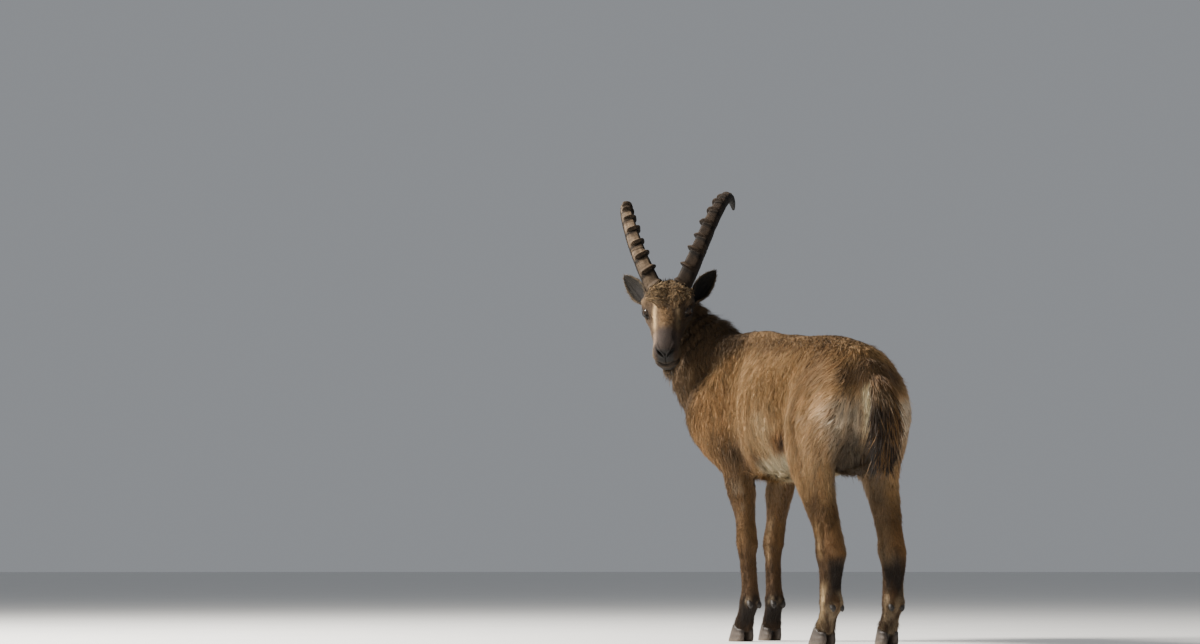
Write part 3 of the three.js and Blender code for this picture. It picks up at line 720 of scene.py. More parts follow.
def field_colour(p, part, hn, hl, ht):
    """The coat's markings, with some painted shade and painted highlight, as a linear colour at each point."""
    X, Y, Z = p.T
    side = np.abs(hl)
    m = len(p)
    wob = value_noise(p, 60, 1) * 0.6 + value_noise(p, 24, 2) * 0.4
    streak = value_noise(p * [1, 1, 0.22], 14, 3) * 0.55 + value_noise(p * [1, 1, 0.25], 6.5, 4) * 0.45
    c = np.tile(GOLD, (m, 1))

    def paint(colour, k):
        nonlocal c
        c = mix(c, np.asarray(colour), np.clip(k, 0, 1)[:, None])

    z = Z + 20 * wob
    wide = smooth(np.abs(Y), 60, 105)
    trunk = (part == PART["trunk"]).astype(float)
    hind = np.isin(part, [PART["hind_left"], PART["hind_right"]])
    fore = np.isin(part, [PART["fore_left"], PART["fore_right"]])
    leg = hind | fore
    paint(TAN, smooth(z, 640, 560) * 0.4)
    paint(DARK_BACK, smooth(z, 745, 805) * 0.65)
    paint(srgb(78, 58, 40), smooth(np.abs(Y + 3 * wob), 15, 4) * smooth(Z, 770, 800) * smooth(X, -440, -400) * 0.3)
    # grey undercoat showing along the flank and hip
    paint(GREY_TAN, np.clip(streak + 0.15 * wob, 0, 1) * 0.45)
    paint(BROWN, np.clip(-streak - 0.1 * wob, 0, 1) * 0.4)
    # partings above and behind the hip
    part_line = np.exp(-(((X + 300 + 0.9 * (np.abs(Y) - 60) + 8 * wob) / 9) ** 2)) * smooth(np.abs(Y), 20, 40) * smooth(np.abs(Y), 100, 80) * smooth(Z, 740, 770)
    paint(DARK, part_line * 0.5)
    # pale low flank, rust band, cream belly, and painted shade in the groin and in the fold of the flank
    # paler hair on the low flank behind the elbow, partly a painted highlight along its lit edge
    paint(PALE, np.exp(-(((X + 96) / 56) ** 2)) * smooth(z, 665, 590) * smooth(z, 470, 492) * wide * trunk * 0.85)
    paint(srgb(116, 78, 42), smooth(z, 590, 556) * smooth(z, 468, 484) * smooth(X, -92, -140) * smooth(X, -315, -285) * trunk * 0.85)
    paint(BROWN, smooth(z, 530, 510) * smooth(z, 455, 478) * smooth(X, 180, 120) * smooth(X, -90, -40) * 0.5 * trunk)
    edge_z = np.interp(X, [-300, -200, -60, 80], [534, 529, 514, 496]) + 9 * wob
    paint(srgb(198, 182, 150), smooth(X, 60, -10) * smooth(Z, edge_z, edge_z - 20) * smooth(X, 170, 120) * smooth(X, -300, -238) * trunk * 0.92)
    # painted shade: darker brown in the groin, between the hind legs
    paint(srgb(72, 56, 39), smooth(X, -235, -290) * smooth(Z, 545, 505) * smooth(np.abs(Y), 96, 70) * 0.85)
    # painted shade: a dark patch in the fold of the flank
    fold = np.exp(-((((X + 168) / 26) ** 2 + ((Z - 542 + 0.35 * (X + 168)) / 16) ** 2) ** 2)) * smooth(np.abs(Y), 70, 100)
    paint(srgb(30, 20, 13), fold * 0.92)
    # painted shade along the groove at the front edge of the thigh
    groove = np.exp(-(((X + 318 - 0.09 * (Z - 530)) / 11) ** 2)) * smooth(Z, 430, 480) * smooth(Z, 690, 640) * smooth(np.abs(Y), 80, 110)
    paint(srgb(86, 62, 38), groove * 0.6)
    # shoulder, neck and chest, with painted shade on the withers, at the elbow and partly on the neck
    paint(srgb(140, 105, 67), smooth(X, 100, 190) * smooth(z, 770, 640) * 0.7)
    # painted shade over the withers and the top of the shoulder
    paint(srgb(74, 56, 37), smooth(X, 120, 210) * smooth(Z, 770, 810) * 0.55)
    # painted shade at the elbow, where the foreleg meets the body
    paint(srgb(66, 49, 32), np.exp(-(((X - 145) / 58) ** 2 + ((Z - 516) / 60) ** 2)) * 0.85)
    # darker neck: partly the coat's own browner tone, partly painted shade
    neck = smooth(X + 0.5 * (Z - 700), 215, 310)
    paint(NECK_BROWN, neck * 0.85)
    throat = smooth(X - 0.4 * (Z - 800) + 20 * wob, 370, 440) * smooth(Z, 960, 880)
    paint(srgb(104, 84, 58), throat * 0.6)
    chest = smooth(X, 330, 370) * smooth(Z, 700, 600)
    paint(srgb(98, 70, 42), chest * 0.6)
    # thigh and rump
    across = 0.9055 * np.abs(Y) + 0.4244 * (X + 458) + 5 * wob
    hair = np.clip(streak * 2.4, -1, 1)
    thigh = smooth(across, 24, 46) * smooth(across, 150, 92) * smooth(z, 668, 622) * smooth(z, 478, 540) * smooth(X, -300, -350)
    paint(BUFF, thigh * (0.66 + 0.34 * hair))
    paint(srgb(78, 66, 54), thigh * np.clip(-hair, 0, 1) * 0.4)
    front = np.exp(-(((X + 352) / 22) ** 2)) * smooth(z, 640, 570) * smooth(z, 430, 480) * smooth(np.abs(Y), 80, 110)
    paint(srgb(160, 126, 84), front * 0.5)
    paint(TAN, smooth(across, 96, 130) * smooth(z, 600, 540) * smooth(z, 360, 410) * smooth(X, -300, -340) * 0.6)
    # painted shade under the tail, between the thighs
    under = smooth(across, 40, 22) * smooth(X, -360, -410) * smooth(Z, 560, 525) * smooth(Z, 380, 430)
    paint(srgb(66, 50, 34), under * 0.85)
    paint(srgb(108, 82, 54), smooth(X, -240, -310) * smooth(Z, 640, 700) * smooth(Z, 800, 770) * smooth(np.abs(Y), 30, 80) * (0.6 + 0.3 * hair))
    # darker rump beside the tail root: partly smoky brown hair, partly painted shade
    smoky_and_shade = smooth(X, -395, -440) * smooth(Z, 650, 690) * smooth(Z, 770, 735) * smooth(np.abs(Y), 98, 70)
    paint(srgb(80, 60, 40), smoky_and_shade * 0.8)
    spot = np.exp(-(((X + 440) / 18) ** 2 + ((np.abs(Y) - 40) / 14) ** 2 + ((Z - 712) / 14) ** 2))
    paint(DARK, spot * 0.6)
    from_tail = 0.9055 * np.abs(Y) + 0.4244 * (X + 458) + 1.5 * wob
    stripe = smooth(from_tail, 32, 26) * smooth(X, -405, -425)
    paint(srgb(250, 230, 190), stripe * smooth(Z, 545, 575) * smooth(Z, 688, 668))
    paint(PALE, stripe * smooth(from_tail, 4, 14) * smooth(Z, 500, 560) * smooth(Z, 620, 560) * 0.55)
    branch = np.exp(-(((Z - 662 + 0.5 * (from_tail - 24)) / 7) ** 2)) * smooth(from_tail, 18, 26) * smooth(from_tail, 58, 36) * smooth(X, -410, -430)
    paint(PALE, branch * 0.75)
    paint(srgb(80, 60, 42), throat * 0.45)
    # shade between thigh and tail, and behind the elbow
    rear_ = smooth(X, -315, -360) * smooth(from_tail, 28, 38)
    paint(srgb(118, 102, 80), rear_ * smooth(from_tail, 112, 86) * smooth(Z, 400, 470) * smooth(Z, 668, 640) * (0.5 - 0.25 * hair))
    paint(srgb(60, 48, 34), rear_ * smooth(from_tail, 120, 92) * smooth(Z + 0.25 * from_tail, 600, 540) * smooth(Z, 380, 420) * 0.75)
    paint(srgb(72, 57, 40), np.exp(-(((X + 2) / 20) ** 2 + ((Z - 500) / 46) ** 2)) * smooth(np.abs(Y), 70, 100) * 0.6)
    # legs
    paint(LEG_BROWN, smooth(z, 540, 430) * fore * 0.9)
    paint(LEG_BROWN, smooth(z, 430, 330) * hind * 0.88)
    paint(srgb(68, 49, 31), smooth(z, 290, 200) * leg * 0.75)
    paint(DARK, smooth(Z, 150, 90) * fore * 0.75)
    paint(DARK, smooth(Z, 120, 70) * hind * 0.45)
    for name, (_, turn, at) in LEGS.items():
        own = (part == PART[name]).astype(float)
        q = np.array(at)
        order = np.argsort(q[:, 2])
        cx, cy = (np.interp(Z, q[order, 2], q[order, k]) for k in (0, 1))
        ca, sa = math.cos(math.radians(turn)), math.sin(math.radians(turn))
        f = ((X - cx) * ca + (Y - cy) * sa) / 26
        out = ((Y - cy) * ca - (X - cx) * sa) * np.sign(at[5][1]) / 26
        fine = np.clip(value_noise(p * [1, 1, 0.45], 11, 7) * 1.8, -1, 1)
        if name.startswith("hind"):
            paint(srgb(120, 88, 56), own * smooth(f, -0.4, -1.1) * smooth(Z, 222, 240) * smooth(Z, 330, 270) * 0.6)
            edge = Z + 14 * fine + 22 * out
            paint(BLACK, own * smooth(f + 0.35 * out, -0.05, -0.75) * smooth(edge, 106, 156) * smooth(edge, 266, 200) * 0.88)
            paint(srgb(128, 110, 86), own * smooth(f, 0.1, -0.5) * smooth(Z, 152, 124) * np.clip(0.3 + 0.6 * fine, 0, 1))
            paint(srgb(200, 172, 130), own * np.exp(-(((f - 0.1 + 0.15 * fine) / 0.36) ** 2)) * smooth(out, -0.1, 0.5) * smooth(Z, 176, 140) * smooth(Z, 42, 66) * (0.7 + 0.25 * fine))
            paint(srgb(150, 122, 86), own * np.exp(-(((f - 0.1) / 0.3) ** 2)) * smooth(out, 0.3, 0.8) * smooth(Z, 330, 300) * smooth(Z, 214, 240) * 0.6)
        else:
            paint(DARK, own * smooth(f, 0.1, 1.2) * smooth(Z, 330, 240) * smooth(Z, 90, 140) * 0.3)
            paint(BLACK, own * smooth(f, 0.2, -0.5) * smooth(Z + 8 * fine, 132, 110) * smooth(Z, 48, 60) * 0.75)
            paint(srgb(150, 124, 92), own * np.exp(-(((f + 0.35) / 0.26) ** 2)) * smooth(out, 0.3, -0.3) * smooth(Z, 360, 320) * smooth(Z, 200, 230) * 0.55)
            paint(srgb(148, 128, 102), own * np.clip(fine, 0, 1) * np.exp(-(((Z - 395) / 50) ** 2)) * smooth(out, 0.2, 0.8) * 0.6)
            paint(srgb(148, 130, 106), own * np.clip(fine + 0.3, 0, 1) * np.exp(-(((Z - 112) / 9) ** 2)) * smooth(f, 0.2, -0.6) * 0.7)
        inner = own * smooth(out, 0.0, -0.9) * (smooth(Z, 196, 236) if name.startswith("hind") else smooth(Z, 330, 430))
        paint(srgb(132, 110, 84), inner * 0.5)
    # tail
    tail = (part == PART["tail"]).astype(float)
    paint(srgb(82, 58, 32), tail * 0.95)
    paint(srgb(36, 25, 17), tail * smooth(z, 668, 632) * 0.9)
    paint(BLACK, tail * smooth(z, 610, 510) * 0.8)
    # head
    head = (part == PART["head"]).astype(float) * smooth(hn, 35, 60)
    paint(FACE, head)
    fore_ = head * smooth(hn, 165, 120) * smooth(ht, -26, 0)
    paint(srgb(86, 68, 47), fore_ * 0.85)
    brow = head * np.exp(-(((hn - 142) / 16) ** 2 + ((side - 60) / 12) ** 2 + ((ht + 4) / 11) ** 2))
    paint(srgb(116, 94, 68), brow * 0.5)
    # painted shade in the furrow between the two lobes of the forehead
    paint(srgb(26, 18, 12), head * np.exp(-(((hl + 2) / (6 + 0.08 * np.clip(hn - 110, 0, 50))) ** 2)) * smooth(hn, 96, 112) * smooth(hn, 172, 152) * smooth(ht, -24, -6) * 0.92)
    mid = head * smooth(side, 24, 15) * smooth(hn, 140, 158) * smooth(hn, 232, 212) * smooth(ht, -32, -16)
    paint(srgb(104, 80, 52), mid * 0.85)
    inner = np.interp(hn, [128, 150, 172, 236], [16, 24, 30, 31])
    bridge = head * np.exp(-(((side - inner - 2) / 5.0) ** 2)) * smooth(hn, 124, 140) * smooth(hn, 240, 214) * smooth(ht, -46, -26)
    # painted twice as strongly on the right side (hl < 0) as on the left: pale hair, with a painted highlight on the
    # right
    bridge = bridge * np.where(hl < 0, 1.0, 0.5)
    paint(srgb(186, 158, 118), bridge * 0.8)
    paint(srgb(48, 38, 33), head * smooth(hn + 0.25 * side, 226, 244) * 0.94)
    paint(srgb(60, 46, 32), head * smooth(ht, -28, -62) * smooth(hn, 250, 210) * 0.65)
    # pale side of the muzzle, painted four times as strongly on the right side (hl < 0): pale hair, with a painted
    # highlight on the right
    paint(srgb(140, 118, 98), head * np.exp(-(((side - 31) / 6) ** 2)) * smooth(hn, 222, 236) * smooth(hn, 284, 262) * smooth(ht, -74, -52) * np.where(hl < 0, 0.6, 0.15))
    streaks = np.exp(-(((ht + 74 - 0.2 * (hn - 150)) / 9) ** 2)) * smooth(hn, 110, 140) * smooth(hn, 235, 200)
    paint(srgb(98, 78, 54), head * streaks * smooth(side, 20, 35) * 0.5)
    jaw = smooth(ht, -62, -101) * smooth(hn, 214, 268)
    hn, ht = hn - 7.0 * jaw, ht + 9.0 * jaw
    lip = smooth(ht, -66, -76) * smooth(hn, 236, 262)
    # darker lower muzzle: partly its own darker hair, partly painted shade
    paint(srgb(54, 43, 31), head * lip * 0.85)
    pale = np.exp(-(((hn - 266) / 16) ** 2 + ((side - 32) / 12) ** 2 + ((ht + 70) / 12) ** 2))
    paint(srgb(132, 113, 82), head * pale * 0.7)
    # painted shade along the mouth line
    line = np.exp(-(((ht + 84 + 0.16 * (300 - hn)) / 3.2) ** 2)) * smooth(hn, 236, 254)
    paint(srgb(40, 32, 26), head * line * 0.7)
    # painted shade under the chin
    paint(srgb(34, 27, 19), head * smooth(ht, -92, -102) * smooth(hn, 222, 246) * 0.9)
    ring = np.exp(-(((hn - EYE["n"]) / 24) ** 2 + ((ht - EYE["t"]) / 16) ** 2)) * smooth(side, 35, 50)
    paint(srgb(38, 28, 20), head * ring * 0.75)
    c = c * np.exp(0.14 * wob + np.where(leg, 0.4, 0.42) * streak)[:, None]
    return np.clip(c, 0.002, 0.9)


lie = field_lie()
length, width, lift, dense = field_sizes()
sizes = laplacian(np.stack([length, width, lift, dense], 1), edges, 0.6, 12)
length, width, lift, dense = sizes.T
colour = field_colour(v, part, hn, hl, ht)
colour = laplacian(colour, edges, 0.4, 2)
pad = smooth(hn, 274, 286) * smooth(ht, -86, -78) * smooth(ht, -36, -46) * smooth(np.abs(hl), 25, 17) * is_part("head")
# the skin under the coat is darker than the coat: partly darker underhair, partly painted shade among the tufts
skin_colour = colour * 0.82
nose_v = np.exp(-(((ht + 53 - (np.abs(hl) - 14) * 0.85 + 2) / 5.5) ** 2)) * smooth(np.abs(hl), 29, 23) * smooth(hn, 258, 270) * is_part("head")
skin_colour = mix(skin_colour, srgb(20, 17, 15)[None], np.clip(0.95 * pad, 0, 1)[:, None])
skin_colour = mix(skin_colour, srgb(12, 10, 9)[None], np.clip(nose_v * 1.1, 0, 1)[:, None])
# painted shade in the nostrils, along the mouth and in the groove under the nose
skin_colour = mix(skin_colour, np.array([[0.004, 0.0035, 0.003]]), np.clip(NOSTRIL * 1.8 + MOUTH * 0.8 + CLEFT * 0.8, 0, 1)[:, None])
skin_colour = mix(skin_colour, srgb(15, 11, 9)[None], np.clip(lid_mark * 1.2, 0, 1)[:, None])
hairless = np.clip(NOSTRIL * 2 + pad * 1.3 + nose_v * 1.3 + MOUTH * 0.7 + CLEFT + lid_mark * 1.5, 0, 1)


# ---------------------------------------------------------------- ears: cupped leaves, part of the skin
def ear_surface(side):
    root = in_head(84, side * 68, -46)
    axis = head_dir(-0.86, side * 0.48, 0.13) if side > 0 else head_dir(-0.85, -0.58, 0.12)
    face = head_dir(0.5, side * 0.45, 0.74)
    face = unit(face - axis * (face @ axis))
    across = np.cross(axis, face)
    rows, cols = 46, 34
    s = np.linspace(-0.14, 1, rows)
    table = np.array(EAR_SIZES)
    half = np.interp(np.clip(s, 0, 1), table[:, 0], table[:, 1]) * np.where(s < 0, 0.8, 1) - 1.2
    half = np.where(s > 0.93, half * np.sqrt(np.clip((1 - s) / 0.07, 0, 1)) + 0.7, half)
    phi = np.interp(s, [-0.14, 0.0, 0.14, 0.35, 0.7, 1], [2.6, 2.35, 1.75, 1.25, 0.95, 0.7])
    u = np.linspace(-1, 1, cols)
    S_, U_ = np.meshgrid(s, u, indexing="ij")
    ph = phi[:, None] * U_
    R_ = (half / np.where(phi > math.pi / 2, 1, np.sin(np.minimum(phi, math.pi / 2))))[:, None]
    R_ = np.where((phi > math.pi / 2)[:, None], half[:, None] * 0.95, R_)
    bend = 10 * np.sin(np.pi * np.clip(s, 0, 1))
    centre = root + s[:, None] * EAR_LENGTH * axis - bend[:, None] * face
    lift_ = R_ * (1 - np.cos(ph)) - 0.45 * R_ * (1 - np.cos(phi))[:, None]
    mid_ = centre[:, None] + across * (R_ * np.sin(ph))[..., None] + face * lift_[..., None]
    outward = across * np.sin(ph)[..., None] - face * np.cos(ph)[..., None]
    thick = mix(1.7, 0.7, np.abs(U_) ** 2) * mix(1.2, 0.6, np.clip(S_, 0, 1))
    ridge = 0.8 * np.cos(U_ * math.pi * 5) * smooth(S_, 0.05, 0.25) * smooth(S_, 0.9, 0.6) * (1 - np.abs(U_))
    outer = mid_ + outward * thick[..., None]
    inner = mid_ - outward * (thick + ridge)[..., None]
    return outer, inner, S_, U_, axis, outward


EARS = []
ear_v, ear_f, ear_c, ear_pieces = [], [], [], []
base_count = len(v)
for s_ in (1, -1):
    outer, inner, S_, U_, axis, outward = ear_surface(s_)
    r_, c_ = outer.shape[:2]
    verts = np.concatenate([outer.reshape(-1, 3), inner.reshape(-1, 3)])
    idx = np.arange(r_ * c_).reshape(r_, c_)
    off = r_ * c_
    q = []
    a_, b_, c2, d2 = idx[:-1, :-1].ravel(), idx[:-1, 1:].ravel(), idx[1:, 1:].ravel(), idx[1:, :-1].ravel()
    q.append(np.stack([a_, b_, c2, d2], 1))
    q.append(np.stack([a_, d2, c2, b_], 1) + off)
    for line in (idx[:, 0], idx[:, -1][::-1], idx[-1, :], idx[0, ::-1]):
        q.append(np.stack([line[:-1], line[1:], line[1:] + off, line[:-1] + off], 1))
    q = np.concatenate(q)
    # outward faces whichever way the grid runs
    tri = np.concatenate([q[:, [0, 1, 2]], q[:, [0, 2, 3]]])
    vol = np.einsum("ij,ij->i", verts[tri[:, 0]] - verts.mean(0), np.cross(verts[tri[:, 1]] - verts.mean(0), verts[tri[:, 2]] - verts.mean(0))).sum()
    if vol < 0:
        q = q[:, ::-1]
        tri = tri[:, ::-1]
    n_ = vertex_normals(verts, tri)
    s2, u2 = np.tile(S_.ravel(), 2), np.tile(U_.ravel(), 2)
    inside_ = np.repeat([0.0, 1.0], off)
    wob = value_noise(verts, 14, 31)
    col = np.tile(srgb(60, 48, 34), (len(verts), 1))
    col = mix(col, srgb(50, 39, 29), (smooth(s2, 0.55, 1.0) * 0.7)[:, None])
    dark_in = np.tile(srgb(24, 20, 15), (len(verts), 1))
    dark_in = mix(dark_in, srgb(18, 14, 12), (smooth(np.abs(u2), 0.7, 0.2) * smooth(s2, 0.9, 0.3))[:, None])
    dark_in = mix(dark_in, srgb(78, 65, 47), (smooth(np.abs(u2), 0.76, 0.98) * 0.8)[:, None])
    col = mix(col, dark_in, inside_[:, None]) * np.exp(0.1 * wob)[:, None]
    ear_v.append(verts)
    ear_f.append(q + base_count)
    ear_c.append(col)
    base_count += len(verts)
    ax = np.broadcast_to(axis, verts.shape)
    d_ = unit(ax - n_ * (ax * n_).sum(1)[:, None])
    # hair near the rim turns outward over it
    EARS.append(dict(v=verts, tris=tri, normal=n_, lie=d_, colour=col, s=s2, u=u2, inside=inside_, side=s_))


# ---------------------------------------------------------------- materials
def nodes_of(name):
    m = bpy.data.materials.new(name)
    m.use_nodes = True
    nt = m.node_tree
    return m, nt, nt.nodes["Principled BSDF"]


def add(nt, kind, **values):
    n = nt.nodes.new(kind)
    for k, x in values.items():
        if k in n.inputs:
            n.inputs[k].default_value = x
        else:
            setattr(n, k, x)
    return n


def ramp_node(nt, keys):
    n = nt.nodes.new("ShaderNodeValToRGB")
    els = n.color_ramp.elements
    while len(els) < len(keys):
        els.new(0.5)
    for el, (p, c) in zip(els, keys):
        el.position = p
        el.color = (*c, 1) if len(c) == 3 else c
    return n


def times(nt, a, b):
    mul = add(nt, "ShaderNodeMix", data_type="RGBA", blend_type="MULTIPLY")
    mul.inputs["Factor"].default_value = 1.0
    nt.links.new(a, mul.inputs[6])
    nt.links.new(b, mul.inputs[7])
    return mul.outputs[2]


def hair_material(name, roughness, sheen, grain=420.0, strength=0.3, level=0.28):
    m, nt, b = nodes_of(name)
    at = add(nt, "ShaderNodeAttribute", attribute_name="coat")
    tc = add(nt, "ShaderNodeTexCoord")
    noise = add(nt, "ShaderNodeTexNoise", Scale=grain, Detail=3.0, Roughness=0.6)
    nt.links.new(tc.outputs["Object"], noise.inputs["Vector"])
    shade = ramp_node(nt, [(0.25, (1 - strength,) * 3), (0.75, (1 + strength * 0.6,) * 3)])
    nt.links.new(noise.outputs["Fac"], shade.inputs["Fac"])
    nt.links.new(times(nt, at.outputs["Color"], shade.outputs["Color"]), b.inputs["Base Color"])
    rough = add(nt, "ShaderNodeMapRange")
    rough.inputs["To Min"].default_value = roughness - 0.08
    rough.inputs["To Max"].default_value = roughness + 0.1
    nt.links.new(noise.outputs["Fac"], rough.inputs["Value"])
    nt.links.new(rough.outputs["Result"], b.inputs["Roughness"])
    b.inputs["Specular IOR Level"].default_value = level
    b.inputs["Sheen Weight"].default_value = sheen
    b.inputs["Sheen Roughness"].default_value = 0.5
    return m


def skin_material():
    """Short hair drawn along the coat's lie: noise averaged over seven points of each hair."""
    m, nt, b = nodes_of("hide")
    at = add(nt, "ShaderNodeAttribute", attribute_name="coat")
    lay = add(nt, "ShaderNodeAttribute", attribute_name="lie")
    tc = add(nt, "ShaderNodeTexCoord")
    total = None
    for k in range(-3, 4):
        step = add(nt, "ShaderNodeVectorMath", operation="SCALE")
        step.inputs["Scale"].default_value = k * 0.0014
        nt.links.new(lay.outputs["Vector"], step.inputs[0])
        place = add(nt, "ShaderNodeVectorMath", operation="ADD")
        nt.links.new(tc.outputs["Object"], place.inputs[0])
        nt.links.new(step.outputs[0], place.inputs[1])
        hair = add(nt, "ShaderNodeTexNoise", Scale=760.0, Detail=1.0, Roughness=0.5)
        nt.links.new(place.outputs[0], hair.inputs["Vector"])
        if total is None:
            total = hair.outputs["Fac"]
        else:
            plus = add(nt, "ShaderNodeMath", operation="ADD")
            nt.links.new(total, plus.inputs[0])
            nt.links.new(hair.outputs["Fac"], plus.inputs[1])
            total = plus.outputs[0]
    hairs = add(nt, "ShaderNodeMapRange")
    hairs.inputs["From Min"].default_value = 7 * 0.42
    hairs.inputs["From Max"].default_value = 7 * 0.58
    nt.links.new(total, hairs.inputs["Value"])
    pores = add(nt, "ShaderNodeTexVoronoi", Scale=900.0)
    nt.links.new(tc.outputs["Object"], pores.inputs["Vector"])
    shade = ramp_node(nt, [(0.05, (0.5,) * 3), (0.95, (1.4,) * 3)])
    nt.links.new(hairs.outputs["Result"], shade.inputs["Fac"])
    nt.links.new(times(nt, at.outputs["Color"], shade.outputs["Color"]), b.inputs["Base Color"])
    wet = add(nt, "ShaderNodeAttribute", attribute_name="bare")
    rough = add(nt, "ShaderNodeMapRange")
    rough.inputs["To Min"].default_value = 0.78
    rough.inputs["To Max"].default_value = 0.36
    nt.links.new(wet.outputs["Fac"], rough.inputs["Value"])
    nt.links.new(rough.outputs["Result"], b.inputs["Roughness"])
    sum_ = add(nt, "ShaderNodeMath", operation="MULTIPLY_ADD")
    sum_.inputs[1].default_value = 0.3
    nt.links.new(pores.outputs["Distance"], sum_.inputs[0])
    nt.links.new(hairs.outputs["Result"], sum_.inputs[2])
    bump = add(nt, "ShaderNodeBump", Strength=0.6, Distance=0.0009)
    nt.links.new(sum_.outputs[0], bump.inputs["Height"])
    nt.links.new(bump.outputs["Normal"], b.inputs["Normal"])
    b.inputs["Specular IOR Level"].default_value = 0.2
    return m


def keratin_material(name, roughness, lines, along_scale, strength, level=0.4):
    """Horn or hoof: painted colour, fine growth lines from the attribute grow, in millimetres."""
    m, nt, b = nodes_of(name)
    at = add(nt, "ShaderNodeAttribute", attribute_name="coat")
    grow = add(nt, "ShaderNodeAttribute", attribute_name="grow")
    tc = add(nt, "ShaderNodeTexCoord")
    noise = add(nt, "ShaderNodeTexNoise", Scale=160.0, Detail=5.0, Roughness=0.65)
    nt.links.new(tc.outputs["Object"], noise.inputs["Vector"])
    # lines across the growth, wandering a little
    wander = add(nt, "ShaderNodeMath", operation="MULTIPLY_ADD")
    wander.inputs[1].default_value = 2.6
    nt.links.new(noise.outputs["Fac"], wander.inputs[0])
    scaled = add(nt, "ShaderNodeMath", operation="MULTIPLY")
    scaled.inputs[1].default_value = lines
    nt.links.new(grow.outputs["Fac"], scaled.inputs[0])
    nt.links.new(scaled.outputs[0], wander.inputs[2])
    wave = add(nt, "ShaderNodeMath", operation="SINE")
    nt.links.new(wander.outputs[0], wave.inputs[0])
    fibre = add(nt, "ShaderNodeTexNoise", Scale=along_scale, Detail=4.0, Roughness=0.6)
    nt.links.new(tc.outputs["Object"], fibre.inputs["Vector"])
    mixed = add(nt, "ShaderNodeMath", operation="MULTIPLY_ADD")
    mixed.inputs[1].default_value = 0.18
    nt.links.new(wave.outputs[0], mixed.inputs[0])
    nt.links.new(fibre.outputs["Fac"], mixed.inputs[2])
    shade = ramp_node(nt, [(0.2, (1 - strength,) * 3), (0.8, (1 + strength * 0.7,) * 3)])
    nt.links.new(mixed.outputs[0], shade.inputs["Fac"])
    nt.links.new(times(nt, at.outputs["Color"], shade.outputs["Color"]), b.inputs["Base Color"])
    rough = add(nt, "ShaderNodeMapRange")
    rough.inputs["To Min"].default_value = roughness - 0.12
    rough.inputs["To Max"].default_value = roughness + 0.14
    nt.links.new(noise.outputs["Fac"], rough.inputs["Value"])
    nt.links.new(rough.outputs["Result"], b.inputs["Roughness"])
    bump = add(nt, "ShaderNodeBump", Strength=0.55, Distance=0.0012)
    nt.links.new(mixed.outputs[0], bump.inputs["Height"])
    nt.links.new(bump.outputs["Normal"], b.inputs["Normal"])
    b.inputs["Specular IOR Level"].default_value = level
    return m


def eye_material():
    m, nt, b = nodes_of("eye")
    at = add(nt, "ShaderNodeAttribute", attribute_name="coat")
    ex = add(nt, "ShaderNodeAttribute", attribute_name="ex")
    ey = add(nt, "ShaderNodeAttribute", attribute_name="ey")
    tc = add(nt, "ShaderNodeTexCoord")
    noise = add(nt, "ShaderNodeTexNoise", Scale=900.0, Detail=3.0)
    nt.links.new(tc.outputs["Object"], noise.inputs["Vector"])

    def power(a, scale, p):
        d = add(nt, "ShaderNodeMath", operation="MULTIPLY")
        d.inputs[1].default_value = 1 / scale
        nt.links.new(a, d.inputs[0])
        ab = add(nt, "ShaderNodeMath", operation="ABSOLUTE")
        nt.links.new(d.outputs[0], ab.inputs[0])
        w = add(nt, "ShaderNodeMath", operation="POWER")
        w.inputs[1].default_value = p
        nt.links.new(ab.outputs[0], w.inputs[0])
        return w.outputs[0]

    add_ = add(nt, "ShaderNodeMath", operation="ADD")
    nt.links.new(power(ex.outputs["Fac"], 6.2, 3.0), add_.inputs[0])
    nt.links.new(power(ey.outputs["Fac"], 3.0, 3.0), add_.inputs[1])
    pupil = ramp_node(nt, [(0.4, (1, 1, 1)), (0.62, (0, 0, 0))])
    half = add(nt, "ShaderNodeMath", operation="MULTIPLY")
    half.inputs[1].default_value = 0.5
    nt.links.new(add_.outputs[0], half.inputs[0])
    nt.links.new(half.outputs[0], pupil.inputs["Fac"])
    shade = ramp_node(nt, [(0.3, (0.6,) * 3), (0.7, (1.35,) * 3)])
    nt.links.new(noise.outputs["Fac"], shade.inputs["Fac"])
    base = times(nt, at.outputs["Color"], shade.outputs["Color"])
    mx = add(nt, "ShaderNodeMix", data_type="RGBA")
    nt.links.new(pupil.outputs["Color"], mx.inputs["Factor"])
    nt.links.new(base, mx.inputs[6])
    mx.inputs[7].default_value = (0.003, 0.003, 0.004, 1)
    nt.links.new(mx.outputs[2], b.inputs["Base Color"])
    b.inputs["Roughness"].default_value = 0.15
    b.inputs["Specular IOR Level"].default_value = 0.26
    b.inputs["Coat Weight"].default_value = 0.08
    b.inputs["Coat Roughness"].default_value = 0.03
    return m


HIDE = skin_material()
COAT = hair_material("coat_hair", 0.66, 0.05, level=0.2)
FINE = hair_material("short_hair", 0.72, 0.03, 700.0, 0.26, 0.16)
LONG = hair_material("long_hair", 0.56, 0.04, 380.0, 0.3, 0.2)
WOOL = hair_material("wool", 0.76, 0.06, 500.0, 0.34, 0.16)
HORN = keratin_material("horn", 0.64, 1.9, 90.0, 0.4, 0.09)
HOOF = keratin_material("hoof", 0.56, 1.6, 140.0, 0.34)
EYE_MAT = eye_material()


